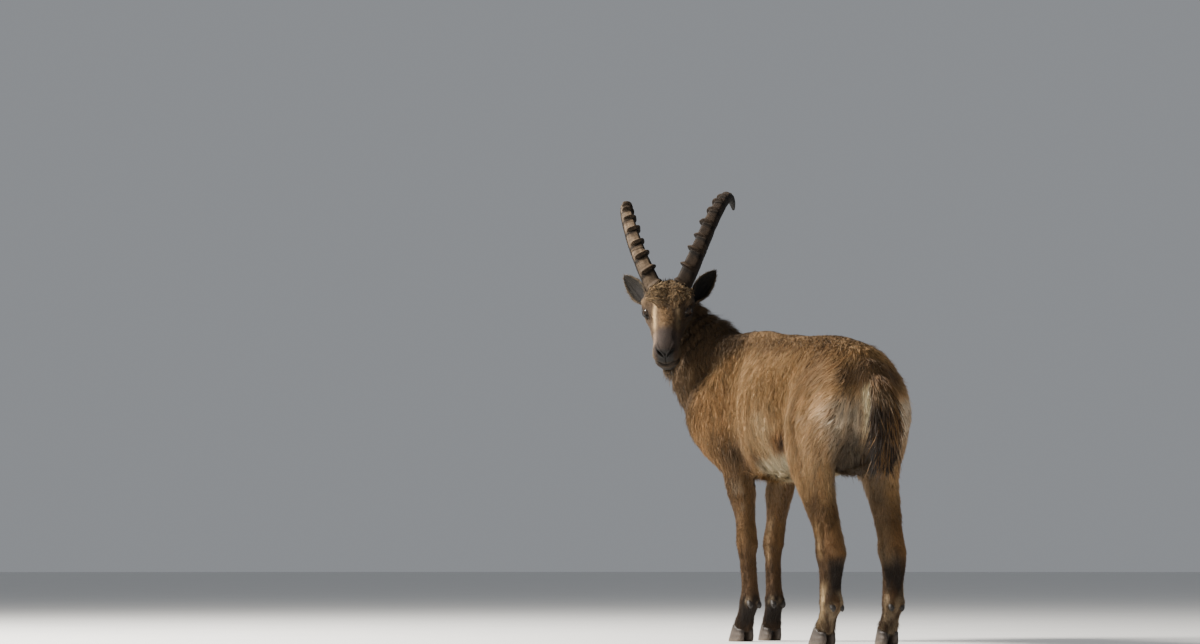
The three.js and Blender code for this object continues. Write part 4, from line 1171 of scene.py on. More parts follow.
# ---------------------------------------------------------------- tufts
def sample_roots(S, per_cm2):
    """Points spread over a surface, so many per square centimetre, with the fields at each."""
    vv, tt = S["v"], S["tris"]
    area = np.linalg.norm(np.cross(vv[tt[:, 1]] - vv[tt[:, 0]], vv[tt[:, 2]] - vv[tt[:, 0]]), axis=1) / 2
    weight = np.broadcast_to(per_cm2, (len(vv),))[tt].mean(1) * area / 100
    total = weight.sum()
    n = int(total)
    at = (np.arange(n) + rng.random(n)) / n * total
    i = np.searchsorted(np.cumsum(weight), at).clip(0, len(tt) - 1)
    u1, u2 = rng.random(n), rng.random(n)
    flip = u1 + u2 > 1
    u1[flip], u2[flip] = 1 - u1[flip], 1 - u2[flip]
    bary = np.stack([1 - u1 - u2, u1, u2], 1)
    corners = tt[i]
    pick = lambda f: (f[corners] * (bary[:, :, None] if f.ndim == 2 else bary)).sum(1)
    main = corners[np.arange(n), bary.argmax(1)]
    out = {}
    for k, f in S.items():
        if k in ("v", "tris", "side"):
            continue
        out[k] = f[main] if k in ("part", "t", "a", "inside") else pick(f)
    out["p"], out["n"], out["d"] = pick(vv), unit(out.pop("normal")), unit(out.pop("lie"))
    return out


def clumped(r, per_clump, pull, spread, vary, stretch=0.8, lone=0.55):
    """Groups roots in long clumps: each leans, lies and is coloured alike, and its tips draw together."""
    n = len(r["p"])
    centres = np.flatnonzero(rng.random(n) < 1 / per_clump)
    if len(centres) < 8:
        return r
    kd = kdtree.KDTree(len(centres))
    for i, c in enumerate(r["p"][centres]):
        kd.insert(c, i)
    kd.balance()
    near_ = np.array([[h[1] for h in kd.find_n(p, 6)] for p in r["p"]])
    q = r["p"][centres][near_] - r["p"][:, None]
    dc = r["d"][centres][near_]
    far = (q * dc).sum(2)
    cost = (q * q).sum(2) - stretch * far * far
    best = cost.argmin(1)
    row = np.arange(n)
    own = near_[row, best]
    turn = rng.normal(0, spread, len(centres))[own] + rng.normal(0, spread * lone, n)
    s = np.cross(r["n"], r["d"])
    r["d"] = unit(r["d"] * np.cos(turn)[:, None] + s * np.sin(turn)[:, None])
    r["draw"] = (q[row, best] - dc[row, best] * far[row, best][:, None]) * pull
    shade = rng.normal(0, vary, len(centres))[own] + rng.normal(0, vary * 0.8, n)
    r["colour"] = r["colour"] * np.exp(shade)[:, None]
    warm = rng.normal(0, 0.035, len(centres))[own]
    r["colour"] = r["colour"] * np.stack([1 + warm, 1 + 0 * warm, 1 - warm], 1)
    r["length"] = r["length"] * np.exp(rng.normal(0, 0.12, len(centres))[own] + rng.normal(0, 0.13, n))
    r["lift"] = r["lift"] * np.exp(rng.normal(0, 0.28, len(centres))[own] + rng.normal(0, 0.22, n))
    stray = rng.random(n) < 0.03
    r["lift"] = np.where(stray, r["lift"] * 2.2, r["lift"])
    return r


def bake_places(r):
    """A place for each root on the unwrapped skin: parts side by side, along by round."""
    parts = r["part"]
    out = np.zeros((len(parts), 2))
    names, counts = np.unique(parts, return_counts=True)
    share = counts / counts.sum()
    start = 0.0
    for k, w in zip(names, share):
        own = parts == k
        t = r["t"][own]
        lo, hi = t.min(), t.max()
        out[own, 0] = start + r["a"][own] * w
        out[own, 1] = (t - lo) / max(hi - lo, 1e-6)
        start += w
    out += rng.normal(0, 0.002, out.shape)
    return np.clip(out, 0, 1) * 0.996


def emit(name, r, verts, faces, shade, uvp, material, limit=199000):
    """Meshes of many equal small solids, in pieces under the triangle limit, with their colours and places."""
    n, k, nf = len(verts), verts.shape[1], len(faces)
    pieces = max(1, math.ceil(n * nf / limit))
    order = np.lexsort((r["t"], r["part"]))
    for j, own in enumerate(np.array_split(order, pieces)):
        m = len(own)
        f = (faces[None] + (np.arange(m) * k)[:, None, None]).reshape(-1, 3)
        ob = make_mesh(f"{name}_{j + 1}" if pieces > 1 else name, verts[own].reshape(-1, 3), f)
        sub = {key: r[key][own] for key in ("part", "t", "a")}
        uv0 = bake_places(sub)
        uvv = (uv0[:, None] + uvp[None] * 0.003).reshape(-1, 2)
        layer = ob.data.uv_layers.new(name="OFBake")
        layer.uv.foreach_set("vector", uvv[f.ravel()].astype(np.float32).ravel())
        col = r["colour"][own][:, None] * shade[own] if shade.ndim == 3 else r["colour"][own][:, None] * shade[None, :, None]
        set_colour(ob.data, "coat", np.clip(col, 0, 1).reshape(-1, 3))
        ob.data.materials.append(material)
        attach(ob, "root")


CORNERS = [(-0.5, -0.3), (0.5, -0.3), (0.0, 0.7)]


def needles(name, r, material, root_dark=0.82, tip_light=1.12):
    """Straight closed spikes of four triangles."""
    n = len(r["p"])
    N, D = r["n"], r["d"]
    S = np.cross(N, D)
    L, W, up = r["length"][:, None], r["width"][:, None], r["lift"][:, None]
    draw = r.get("draw", np.zeros((n, 3)))
    root = r["p"] - N * 1.2
    tip = r["p"] + D * L * np.cos(up) + N * L * np.sin(up) + draw
    tip += rng.normal(0, 0.02, (n, 3)) * L
    verts = np.stack([root + S * W * a + N * W * 0.42 * b for a, b in CORNERS] + [tip], 1)
    f = np.array([[0, 1, 3], [1, 2, 3], [2, 0, 3], [0, 2, 1]])
    uvp = np.array([[0, 0], [1, 0], [0.5, 0], [0.5, 1]])
    # each spike runs from root_dark at the root to tip_light at the tip: the darker root is partly darker underhair,
    # partly painted shade among the tufts
    emit(name, r, verts, f, np.array([root_dark] * 3 + [tip_light]), uvp, material)


def locks(name, r, material, segments=2, curl=0.0, fall=0.0, droop=(0, 0, -1), root_dark=0.72, tip_light=1.16, turns=0.0, radius=0.0, thick=0.45):
    """Closed three-sided locks that bend: fall draws them down, radius and turns wind them."""
    n = len(r["p"])
    N, D = r["n"], r["d"]
    S = np.cross(N, D)
    L, W, up = r["length"], r["width"], r["lift"]
    draw = r.get("draw", np.zeros((n, 3)))
    side_curl = rng.normal(0, 1, n) * curl
    phase = rng.random(n) * 2 * np.pi
    rad = radius * np.exp(rng.normal(0, 0.25, n))
    g = np.asarray(droop, float)

    def centre(k):
        ang = up * (1 - 0.75 * k)
        p = r["p"] - N * 1.2 + D * (L * k * np.cos(ang))[:, None] + N * (L * 0.75 * np.sin(up) * (k - 0.35 * k * k) + 1.2 * min(k * 4, 1))[:, None]
        p = p + draw * k + S * (L * side_curl * k * k)[:, None] + g * (L * fall * k * k)[:, None]
        if radius:
            w = 2 * np.pi * turns * k
            p = p + S * (rad * (np.sin(phase + w) - np.sin(phase)))[:, None] + N * (rad * (np.cos(phase + w) - np.cos(phase) + 0.6 * k))[:, None]
        return p

    rings = []
    for j in range(segments):
        k = j / segments
        c0, c1 = centre(k), centre(k + 0.02)
        T = unit(c1 - c0)
        s = unit(np.cross(N, T) + 1e-6)
        up_ = np.cross(T, s)
        w = W * (1 - 0.12 * k - 0.45 * k * k) * (0.8 if j == 0 else 1.0)
        rings += [c0 + s * (w * a)[:, None] + up_ * (w * thick * 2.2 * b * 0.5)[:, None] for a, b in CORNERS]
    verts = np.stack(rings + [centre(1.0)], 1)
    f = [[0, 2, 1]]
    for j in range(segments - 1):
        for i in range(3):
            a, b = 3 * j + i, 3 * j + (i + 1) % 3
            f += [[a, b, b + 3], [a, b + 3, a + 3]]
    last = 3 * (segments - 1)
    f += [[last + i, last + (i + 1) % 3, 3 * segments] for i in range(3)]
    f = np.array(f)
    # colour runs from root_dark at the root to tip_light at the tip: the darker root is partly darker underhair, partly
    # painted shade among the locks
    shade, uvp = [], []
    for j in range(segments):
        shade += [mix(root_dark, 1.06, min(1, 1.4 * j / segments))] * 3
        uvp += [[0, j / segments], [1, j / segments], [0.5, j / segments]]
    emit(name, r, verts, f, np.array(shade + [tip_light]), np.array(uvp + [[0.5, 1]]), material)


open_skin = 1 - hairless
is_head = is_part("head") & (hn > 62)
low_leg = (is_part(*LEGS) & (v[:, 2] < 330)).astype(float)
is_tail = is_part("tail")
above_hoof = smooth(v[:, 2], 33, 39)
SKIN = dict(v=v, tris=tris, normal=normal, lie=lie, length=length, width=width, lift=lift, colour=colour, part=part, t=along, a=round_, hn=hn, hl=hl, ht=ht)

main = ((~is_head) & (~is_tail)).astype(float) * (1 - low_leg) * above_hoof
r = clumped(sample_roots(SKIN, dense * main), 16, 0.3, 0.09, 0.1)
print("coat", len(r["p"]))
needles("coat_body", r, COAT, root_dark=0.62, tip_light=1.22)

# longer locks that break the flat coat
r = sample_roots(SKIN, 1.45 * main * smooth(v[:, 2], 380, 470))
r["length"] *= 1.22
r["width"] *= 1.5
r["lift"] *= 1.15
r["colour"] = r["colour"] * np.exp(rng.normal(-0.02, 0.2, len(r["p"])))[:, None]
r = clumped(r, 3, 0.3, 0.14, 0.06)
print("locks", len(r["p"]))
locks("coat_locks", r, COAT, segments=2, curl=0.05, root_dark=0.5, tip_light=1.22)

r = clumped(sample_roots(SKIN, dense * low_leg * above_hoof), 14, 0.3, 0.08, 0.08)
print("legs", len(r["p"]))
needles("coat_legs", r, FINE, root_dark=0.66, tip_light=1.2)

r = clumped(sample_roots(SKIN, dense * is_head * open_skin), 10, 0.25, 0.1, 0.09)
print("face", len(r["p"]))
needles("coat_face", r, FINE, root_dark=0.82, tip_light=1.1)

# tail: long hanging hair
r = sample_roots(SKIN, 26.0 * is_tail)
r["length"] = np.interp(r["p"][:, 2], [460, 520, 600, 680, 720], [34, 52, 58, 40, 28]) * np.exp(rng.normal(0, 0.16, len(r["p"])))
r["width"] = np.full(len(r["p"]), 2.3)
r["lift"] = np.full(len(r["p"]), 0.3)
wisp = rng.random(len(r["p"])) < 0.04 + 0.1 * smooth(r["p"][:, 2], 560, 500)
middle = smooth(np.abs(r["p"][:, 1] + 4), 24, 8) * smooth(r["p"][:, 2], 660, 630)
wisp = wisp | (rng.random(len(r["p"])) < 0.3 * middle)
wisp = wisp | (rng.random(len(r["p"])) < 0.5 * smooth(r["p"][:, 1], 2, -14) * smooth(r["p"][:, 2], 540, 600))
r["colour"] = np.where(wisp[:, None], srgb(104, 75, 42), r["colour"])
r = clumped(r, 12, 0.35, 0.12, 0.16)
locks("coat_tail", r, LONG, segments=3, curl=0.1, fall=0.12)
print("tail", len(r["p"]))

# forehead wool: swept over the right lobe, curled on the left one
wool_end = 130 + 27 * np.exp(-(((np.abs(hl) - 27) / 16) ** 2)) + 6 * value_noise(v, 9, 41)
pad_w = is_part("head") * smooth(hn, 50, 62) * smooth(hn, wool_end + 8, wool_end - 6) * smooth(np.abs(hl), 64, 52) * smooth(ht, -26, -10)
small = is_part("head") * smooth(hn, 120, 138) * smooth(hn, 222, 190) * smooth(np.abs(hl), 24, 14) * smooth(ht, -34, -18)
r = sample_roots(SKIN, 42.0 * pad_w + 14.0 * small * (1 - pad_w))
n = len(r["p"])
swept = smooth(r["hl"], 4, -6)[:, None]
d = NOSE * mix(0.7, 0.5, swept) + LEFT * mix(-0.3, 0.9, swept) + rng.normal(0, 1, (n, 3)) * mix(0.34, 0.12, swept)
r["d"] = unit(d - r["n"] * (d * r["n"]).sum(1)[:, None])
far = smooth(r["hn"], 134, 172)
r["length"] = mix(mix(17, 24, swept[:, 0]), 9, far) * np.exp(rng.normal(0, 0.2, n))
r["width"] = mix(1.35, 1.0, far)
r["lift"] = mix(mix(0.48, 0.26, swept[:, 0]), 0.32, far)
tone = mix(srgb(66, 52, 35), srgb(148, 122, 88), rng.random(n)[:, None] ** 1.7)
tone = mix(tone, srgb(96, 70, 40), (0.6 * far)[:, None])
# painted shade in the furrow between the two lobes of wool
cleft_k = np.exp(-(((r["hl"] + 2) / 8) ** 2)) * smooth(r["hn"], 94, 108) * smooth(r["hn"], 172, 152)
r["colour"] = mix(tone, srgb(24, 17, 11), (0.92 * cleft_k)[:, None])
r = clumped(r, 7, 0.45, 0.2, 0.14, stretch=0.6)
left = np.flatnonzero(r["hl"] > 0)
right = np.flatnonzero(r["hl"] <= 0)
locks("coat_wool_a", {k: x[left] for k, x in r.items()}, WOOL, segments=4, turns=1.0, radius=1.8, root_dark=0.6, tip_light=1.2, thick=0.6)
locks("coat_wool_b", {k: x[right] for k, x in r.items()}, WOOL, segments=4, turns=0.7, radius=0.6, root_dark=0.6, tip_light=1.2, thick=0.6)
print("wool", n)

# beard and throat hair
chin = is_part("head") * smooth(hn, 250, 264) * smooth(ht, -119, -129) * smooth(np.abs(hl), 20, 12)
r = sample_roots(SKIN, 34.0 * chin)
n = len(r["p"])
r["d"] = unit(-NOSE * 0.35 - CROWN * 0.5 + np.array([0, 0, -0.7]) + rng.normal(0, 0.12, (n, 3)))
r["length"] = 20 * np.exp(rng.normal(0, 0.25, n))
r["width"] = np.full(n, 1.5)
r["lift"] = np.full(n, 0.1)
r["colour"] = mix(srgb(44, 34, 26), srgb(120, 98, 70), rng.random(n)[:, None] ** 1.6)
r = clumped(r, 9, 0.5, 0.1, 0.1, stretch=0.0)
locks("coat_beard", r, LONG, segments=3, curl=0.08, fall=0.1)
print("beard", n)
throat_w = is_part("neck") * smooth(v[:, 0] - 0.4 * (v[:, 2] - 800), 350, 420) * smooth(v[:, 2], 960, 900) * smooth(v[:, 2], 620, 700)
throat_w = throat_w + is_part("head") * smooth(ht, -100, -118) * smooth(hn, 170, 120) * (hn > 40)
r = sample_roots(SKIN, 2.6 * throat_w)
n = len(r["p"])
r["length"] = 34 * np.exp(rng.normal(0, 0.2, n))
r["width"] = np.full(n, 2.2)
r["lift"] = np.full(n, 0.2)
r = clumped(r, 5, 0.4, 0.12, 0.12)
locks("coat_throat", r, LONG, segments=3, curl=0.08, fall=0.12)
print("throat", n)

# ears
ear_parts = []
for S in EARS:
    out = 1 - S["inside"]
    S["part"] = np.full(len(S["v"]), 20 if S["side"] > 0 else 21)
    S["t"], S["a"] = S["s"], (S["u"] + 1) / 4 + 0.5 * S["inside"]
    edge = smooth(np.abs(S["u"]), 0.8, 0.97)
    S["length"] = 6.5 + 3.5 * edge * (0.5 + out * 0.5)
    S["width"] = np.full(len(S["v"]), 1.05)
    S["lift"] = 0.25 + 0.3 * edge
    r = sample_roots(S, (30 * out + 16 * S["inside"] * smooth(np.abs(S["u"]), 0.45, 0.9) + 3 * S["inside"]) * smooth(S["s"], 0.0, 0.06))
    ear_parts.append(r)
r = {k: np.concatenate([q[k] for q in ear_parts]) for k in ear_parts[0]}
r = clumped(r, 9, 0.2, 0.12, 0.1)
needles("coat_ears", r, FINE, root_dark=0.86, tip_light=1.12)
print("ears", len(r["p"]))

# lashes and whiskers
lash = dict(p=[], n=[], d=[], length=[], colour=[], t=[], a=[], part=[])
for s_ in (1, -1):
    for j in range(44):
        ang = math.radians(12 + 156 * (j + rng.random()) / 44)
        a, b = 14.6 * math.cos(ang) * 1.02, 7.6 * math.sin(ang)
        h = math.sqrt(max(EYE_R**2 - a * a - b * b, 1)) + 3.0
        base = EYE_AT[s_] + EYE_FORE[s_] * a + EYE_UP[s_] * b + EYE_AXIS[s_] * h
        d = unit(EYE_AXIS[s_] * 0.8 + EYE_UP[s_] * (-0.1 + 0.3 * rng.random()) + EYE_FORE[s_] * (0.3 * math.cos(ang) - 0.25))
        lash["p"].append(base)
        lash["d"].append(d)
        lash["n"].append(unit(np.cross(d, EYE_FORE[s_])))
        lash["length"].append(6 + 3 * rng.random())
        lash["colour"].append(srgb(30, 23, 19))
        lash["t"].append(0.1 + 0.3 * j / 44)
        lash["a"].append(0.25 + 0.5 * (s_ > 0))
        lash["part"].append(30)
lash = {k: np.array(x) for k, x in lash.items()}
lash["width"] = np.full(len(lash["p"]), 0.45)
lash["lift"] = np.full(len(lash["p"]), 0.05)
whisk = sample_roots(SKIN, 0.55 * is_part("head") * smooth(hn, 246, 262) * smooth(ht, -40, -60) * smooth(np.abs(hl), 8, 16))
n = len(whisk["p"])
whisk["d"] = unit(whisk["n"] * 0.8 - CROWN * 0.5 + rng.normal(0, 0.15, (n, 3)))
whisk["length"] = 12 + 10 * rng.random(n)
whisk["width"] = np.full(n, 0.38)
whisk["lift"] = np.full(n, 0.02)
whisk["colour"] = np.tile(srgb(34, 27, 23), (n, 1))
both = {k: np.concatenate([lash[k], whisk[k]]) for k in lash}
needles("coat_lashes", both, LONG, root_dark=1.0, tip_light=0.9)

# the skin itself, with the ears
me = bpy.data.meshes.new("hide")
all_v = np.concatenate([v] + ear_v)
quads = np.concatenate(ear_f)
faces = [list(p.vertices) for p in made.polygons] + quads.tolist()
me.from_pydata(((all_v + ORIGIN) / 1000).tolist(), [], faces)
me.polygons.foreach_set("use_smooth", np.full(len(me.polygons), True))
me.update()
extra = sum(len(x) for x in ear_v)
set_colour(me, "coat", np.concatenate([skin_colour] + [c * 0.9 for c in ear_c]))
set_float(me, "bare", np.concatenate([np.clip(0.8 * pad + 0.25 * lid_mark, 0, 1), np.zeros(extra)]))
lies = me.attributes.new("lie", "FLOAT_VECTOR", "POINT")
lies.data.foreach_set("vector", np.concatenate([lie] + [S["lie"] for S in EARS]).astype(np.float32).ravel())
me.materials.append(HIDE)
skin = bpy.data.objects.new("hide", me)
bpy.context.scene.collection.objects.link(skin)
bpy.data.meshes.remove(made)
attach(skin, "root")
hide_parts("head", "neck", "trunk", "tail", "ear_left", "ear_right", *[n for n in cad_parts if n.endswith(("_upper", "_thigh", "_cannon"))])


# ---------------------------------------------------------------- horns
def knob_profile(s):
    high = np.zeros_like(s)
    which = np.zeros(s.shape, int)
    for i, at in enumerate(HORN_KNOBS):
        away = s - at
        sig = np.where(away > 0, 0.0105, 0.0052) * (1 - 0.3 * at)
        k = np.exp(-np.abs(away / sig) ** 2.4)
        which = np.where(k > high, i, which)
        high = np.maximum(high, k)
    return high, which


def make_horn(side):
    steps = 88
    axis, rise, out = head_dir(-1, 0, 0), head_dir(0, 0, 1), head_dir(0, side, 0)
    p = in_head(84, side * HORN_APART, -14)
    arc_len = HORN_ARC[side] * math.radians(HORN_TURN)
    path, fronts = [], []
    for i in range(steps + 1):
        s = i / steps
        turned = math.radians(HORN_START - HORN_TURN * s**1.08)
        spread = math.radians(HORN_SPREAD[0] + (HORN_SPREAD[1] - HORN_SPREAD[0]) * s)
        path.append(p.copy())
        fronts.append(-math.sin(turned) * axis + math.cos(turned) * rise)
        p = p + (math.cos(turned) * math.cos(spread) * axis + math.sin(turned) * math.cos(spread) * rise + math.sin(spread) * out) * arc_len / steps
    path, fronts = np.array(path), np.array(fronts)
    rings, around = 430, 60
    s = np.linspace(0, 1, rings) ** 0.985
    c = row_at(path, s * steps)
    T = unit(np.gradient(c, axis=0))
    F = row_at(fronts, s * steps)
    F = unit(F - T * (F * T).sum(1)[:, None])
    S = np.cross(F, T)
    if (S[0] @ out) < 0:
        S = -S
    a = 2 * np.pi * np.arange(around) / around
    ca, sa = np.cos(a), np.sin(a)
    A_, S2 = np.meshgrid(a, s)
    C_, Sn = np.cos(A_), np.sin(A_)
    # each knob sits a little askew
    askew = value_noise(np.stack([S2.ravel() * 60, C_.ravel() * 3, Sn.ravel() * 3 + side * 7], 1), 5, 55).reshape(S2.shape)
    tilt = 0.010 * C_ + 0.004 * askew
    high, which = knob_profile(S2 + tilt)
    amp = np.array([0.6, 0.95, 1.1, 0.9, 1.15, 0.95, 1.05, 0.9, 0.75, 0.5])[which]
    thin = np.maximum(1 - S2, 0) ** 0.55
    n_top = 2.9
    power = 2 / np.where(Sn >= 0, n_top, 2.0)
    width = 3.0 + 21.0 * thin
    front = 3.0 + 22.5 * thin
    back = 3.0 + 24.0 * thin
    reach = smooth(0.8 * Sn - 0.62 * C_, 0.1, 0.86)
    crest = high * amp * reach * (1 - 0.4 * S2)
    lumpy = value_noise(np.stack([S2.ravel() * 520, A_.ravel() * 18, S2.ravel() * 0 + side * 40], 1), 9, 51).reshape(S2.shape)
    crest = crest * (1 + 0.25 * lumpy)
    x = width * np.sign(C_) * np.abs(C_) ** power
    y = np.where(Sn >= 0, front, back) * np.sign(Sn) * np.abs(Sn) ** power
    radial = np.sqrt(x * x + y * y)
    ux, uy = x / np.maximum(radial, 1e-6), y / np.maximum(radial, 1e-6)
    mm = S2 * arc_len
    rings_fine = 0.35 * np.sin(mm * 2 * np.pi / 4.6 + 1.5 * lumpy) + 0.5 * np.sin(mm * 2 * np.pi / 11.5 + 2.2 * lumpy)
    annual = sum(np.exp(-(((S2 - q) * arc_len / 2.2) ** 2)) for q in (0.24, 0.43, 0.68, 0.84))
    grow_out = 10.5 * crest + 0.55 * rings_fine * (0.4 + 0.6 * (1 - reach)) * thin - 1.5 * annual * (1 - 0.5 * reach)
    grow_out += 1.1 * value_noise(np.stack([mm.ravel(), A_.ravel() * 22, mm.ravel() * 0], 1), 26, 52).reshape(S2.shape) * thin
    hollow = 1.6 * smooth(Sn, 0.75, 1.0) * (1 - high) * thin
    x2, y2 = x + ux * grow_out, y + uy * (grow_out - hollow)
    verts = c[:, None] + S[:, None] * x2[..., None] + F[:, None] * y2[..., None]
    # round tip
    end = verts[-1].mean(0) + T[-1] * 3.0
    idx = np.arange(rings * around).reshape(rings, around)
    nxt = np.roll(idx, -1, 1)
    quads = np.stack([idx[:-1], nxt[:-1], nxt[1:], idx[1:]], -1).reshape(-1, 4)
    tri = np.concatenate([quads[:, [0, 1, 2]], quads[:, [0, 2, 3]]])
    flat = np.concatenate([verts.reshape(-1, 3), [c[0]], [end]])
    nb, ne = rings * around, rings * around + 1
    tri = np.concatenate([tri, np.stack([np.full(around, nb), nxt[0], idx[0]], 1), np.stack([np.full(around, ne), idx[-1], nxt[-1]], 1)])
    vol = np.einsum("ij,ij->i", flat[tri[:, 0]] - c.mean(0), np.cross(flat[tri[:, 1]] - c.mean(0), flat[tri[:, 2]] - c.mean(0))).sum()
    if vol < 0:
        tri = tri[:, ::-1]
    base = np.tile(srgb(27, 21, 16), (rings * around, 1)).reshape(rings, around, 3)
    # pale front faces between the knobs: partly wear, partly painted light; on the left horn (side > 0) they are
    # painted much darker, as painted shade
    wear_and_light = (smooth(Sn, 0.3, 0.75) * smooth(C_, -0.95, -0.5))[..., None]
    blot = value_noise(np.stack([mm.ravel() * 0.5, A_.ravel() * 20, mm.ravel() * 0 + 9], 1), 13, 53).reshape(S2.shape)[..., None]
    fibre = value_noise(np.stack([mm.ravel() * 0.12, A_.ravel() * 20, mm.ravel() * 0 + 3], 1), 2.4, 54).reshape(S2.shape)[..., None]
    base = mix(base, srgb(104, 88, 71) if side < 0 else srgb(42, 33, 25), np.clip(wear_and_light * (0.7 + 0.3 * blot + 0.25 * fibre), 0, 1))
    base = mix(base, srgb(126, 104, 78), np.clip(wear_and_light * (blot * 1.3 - 0.45 + 0.5 * fibre), 0, 1) * (0.7 if side < 0 else 0.25))
    base = mix(base, srgb(36, 28, 22), (np.clip(crest * 1.3, 0, 1) * 0.7)[..., None])
    top = np.zeros_like(S2)
    below = np.zeros_like(S2)
    for at in HORN_KNOBS:
        top = np.maximum(top, np.exp(-(((S2 + tilt - (at + 0.006)) / 0.006) ** 2)))
        below = np.maximum(below, np.exp(-(((S2 + tilt - (at - 0.017)) / 0.013) ** 2)))
    # painted highlight along the top edge of each knob
    base = mix(base, srgb(80, 65, 49), (top * reach * 0.4)[..., None])
    # painted shadow in a band under each knob
    base = mix(base, srgb(12, 9, 7), (below * smooth(Sn, -0.2, 0.4) * 0.9)[..., None])
    base = mix(base, srgb(36, 28, 22), (annual * 0.6)[..., None])
    base = mix(base, srgb(27, 21, 16), smooth(S2, 0.2, 0.03)[..., None] * 0.5)
    base = mix(base, srgb(12, 9, 7), smooth(S2, 0.7, 0.88)[..., None] * 0.95)
    base = mix(base, srgb(18, 14, 12), smooth(S2, 0.03, 0.0)[..., None] * 0.8)
    base = mix(base, srgb(20, 16, 13), (smooth(-Sn, -0.3, 0.6) * 0.7)[..., None])
    base = base * np.exp(0.14 * fibre)
    col = np.concatenate([base.reshape(-1, 3), base[:1, 0], base[-1:, 0]])
    ob = make_mesh("horn_left_look" if side > 0 else "horn_right_look", flat, tri)
    set_colour(ob.data, "coat", col)
    set_float(ob.data, "grow", np.concatenate([mm.ravel(), [0], [arc_len]]))
    ob.data.materials.append(HORN)
    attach(ob, "root")
    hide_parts("horn_left" if side > 0 else "horn_right")


for s_ in (1, -1):
    make_horn(s_)


# ---------------------------------------------------------------- eyes
for s_ in (1, -1):
    rings, around = 46, 64
    th = np.concatenate([np.linspace(0, 0.9, 32), np.linspace(0.9, math.pi, rings - 31)[1:]])
    a = 2 * np.pi * np.arange(around) / around
    TH, AA = np.meshgrid(th[1:-1], a, indexing="ij")
    rad = EYE_R + 1.1 * smooth(TH, 0.62, 0.2)
    ex = rad * np.sin(TH) * np.cos(AA)
    ey = rad * np.sin(TH) * np.sin(AA)
    ez = rad * np.cos(TH)
    loc = np.concatenate([np.stack([ex, ey, ez], -1).reshape(-1, 3), [[0, 0, EYE_R + 1.1]], [[0, 0, -EYE_R]]])
    flat = EYE_AT[s_] + loc[:, :1] * EYE_FORE[s_] + loc[:, 1:2] * EYE_UP[s_] + loc[:, 2:] * EYE_AXIS[s_]
    m_ = len(th) - 2
    idx = np.arange(m_ * around).reshape(m_, around)
    nxt = np.roll(idx, -1, 1)
    quads = np.stack([idx[:-1], nxt[:-1], nxt[1:], idx[1:]], -1).reshape(-1, 4)
    tri = np.concatenate([quads[:, [0, 1, 2]], quads[:, [0, 2, 3]]])
    tri = np.concatenate([tri, np.stack([np.full(around, m_ * around), nxt[0], idx[0]], 1), np.stack([np.full(around, m_ * around + 1), idx[-1], nxt[-1]], 1)])
    vol = np.einsum("ij,ij->i", flat[tri[:, 0]] - EYE_AT[s_], np.cross(flat[tri[:, 1]] - EYE_AT[s_], flat[tri[:, 2]] - EYE_AT[s_])).sum()
    if vol < 0:
        tri = tri[:, ::-1]
    rr = np.hypot(loc[:, 0], loc[:, 1])
    ang = np.arctan2(loc[:, 1], loc[:, 0])
    fibre = value_noise(np.stack([np.cos(ang) * 30, np.sin(ang) * 30, rr * 0.6], 1), 2.0, 61)
    col = mix(srgb(80, 50, 24)[None], srgb(36, 22, 12)[None], smooth(rr, 4.5, 8.0)[:, None]) * np.exp(0.3 * fibre)[:, None]
    col = mix(col, srgb(24, 18, 15)[None], smooth(rr, 8.4, 9.8)[:, None])
    col[loc[:, 2] < 0] = srgb(24, 18, 15)
    ob = make_mesh("eye_left_look" if s_ > 0 else "eye_right_look", flat, tri)
    set_colour(ob.data, "coat", col)
    set_float(ob.data, "ex", np.where(loc[:, 2] > 0, loc[:, 0], 99))
    set_float(ob.data, "ey", np.where(loc[:, 2] > 0, loc[:, 1], 99))
    ob.data.materials.append(EYE_MAT)
    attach(ob, "root")
    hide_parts("eye_left" if s_ > 0 else "eye_right")


# ---------------------------------------------------------------- hooves
def foot_place(leg, i, forward, left, z):
    _, turn, at = LEGS[leg]
    x, y, _ = at[i]
    c, s = math.cos(math.radians(turn)), math.sin(math.radians(turn))
    return np.stack([x + c * forward - s * left, y + s * forward + c * left, z + 0 * forward], -1)


def closed_rings(name, verts, cap0, cap1, colour, grow, slot, *nodes):
    rings, around = verts.shape[:2]
    idx = np.arange(rings * around).reshape(rings, around)
    nxt = np.roll(idx, -1, 1)
    quads = np.stack([idx[:-1], nxt[:-1], nxt[1:], idx[1:]], -1).reshape(-1, 4)
    tri = np.concatenate([quads[:, [0, 1, 2]], quads[:, [0, 2, 3]]])
    nb, ne = rings * around, rings * around + 1
    tri = np.concatenate([tri, np.stack([np.full(around, nb), nxt[0], idx[0]], 1), np.stack([np.full(around, ne), idx[-1], nxt[-1]], 1)])
    flat = np.concatenate([verts.reshape(-1, 3), [cap0], [cap1]])
    mid = flat.mean(0)
    if np.einsum("ij,ij->i", flat[tri[:, 0]] - mid, np.cross(flat[tri[:, 1]] - mid, flat[tri[:, 2]] - mid)).sum() < 0:
        tri = tri[:, ::-1]
    ob = make_mesh(name, flat, tri)
    set_colour(ob.data, "coat", np.concatenate([colour.reshape(-1, 3), colour[0, :1], colour[-1, :1]]))
    set_float(ob.data, "grow", np.concatenate([grow.ravel(), [grow[0, 0]], [grow[-1, 0]]]))
    ob.data.materials.append(HOOF)
    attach(ob, "root")
    if nodes:
        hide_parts(*nodes)


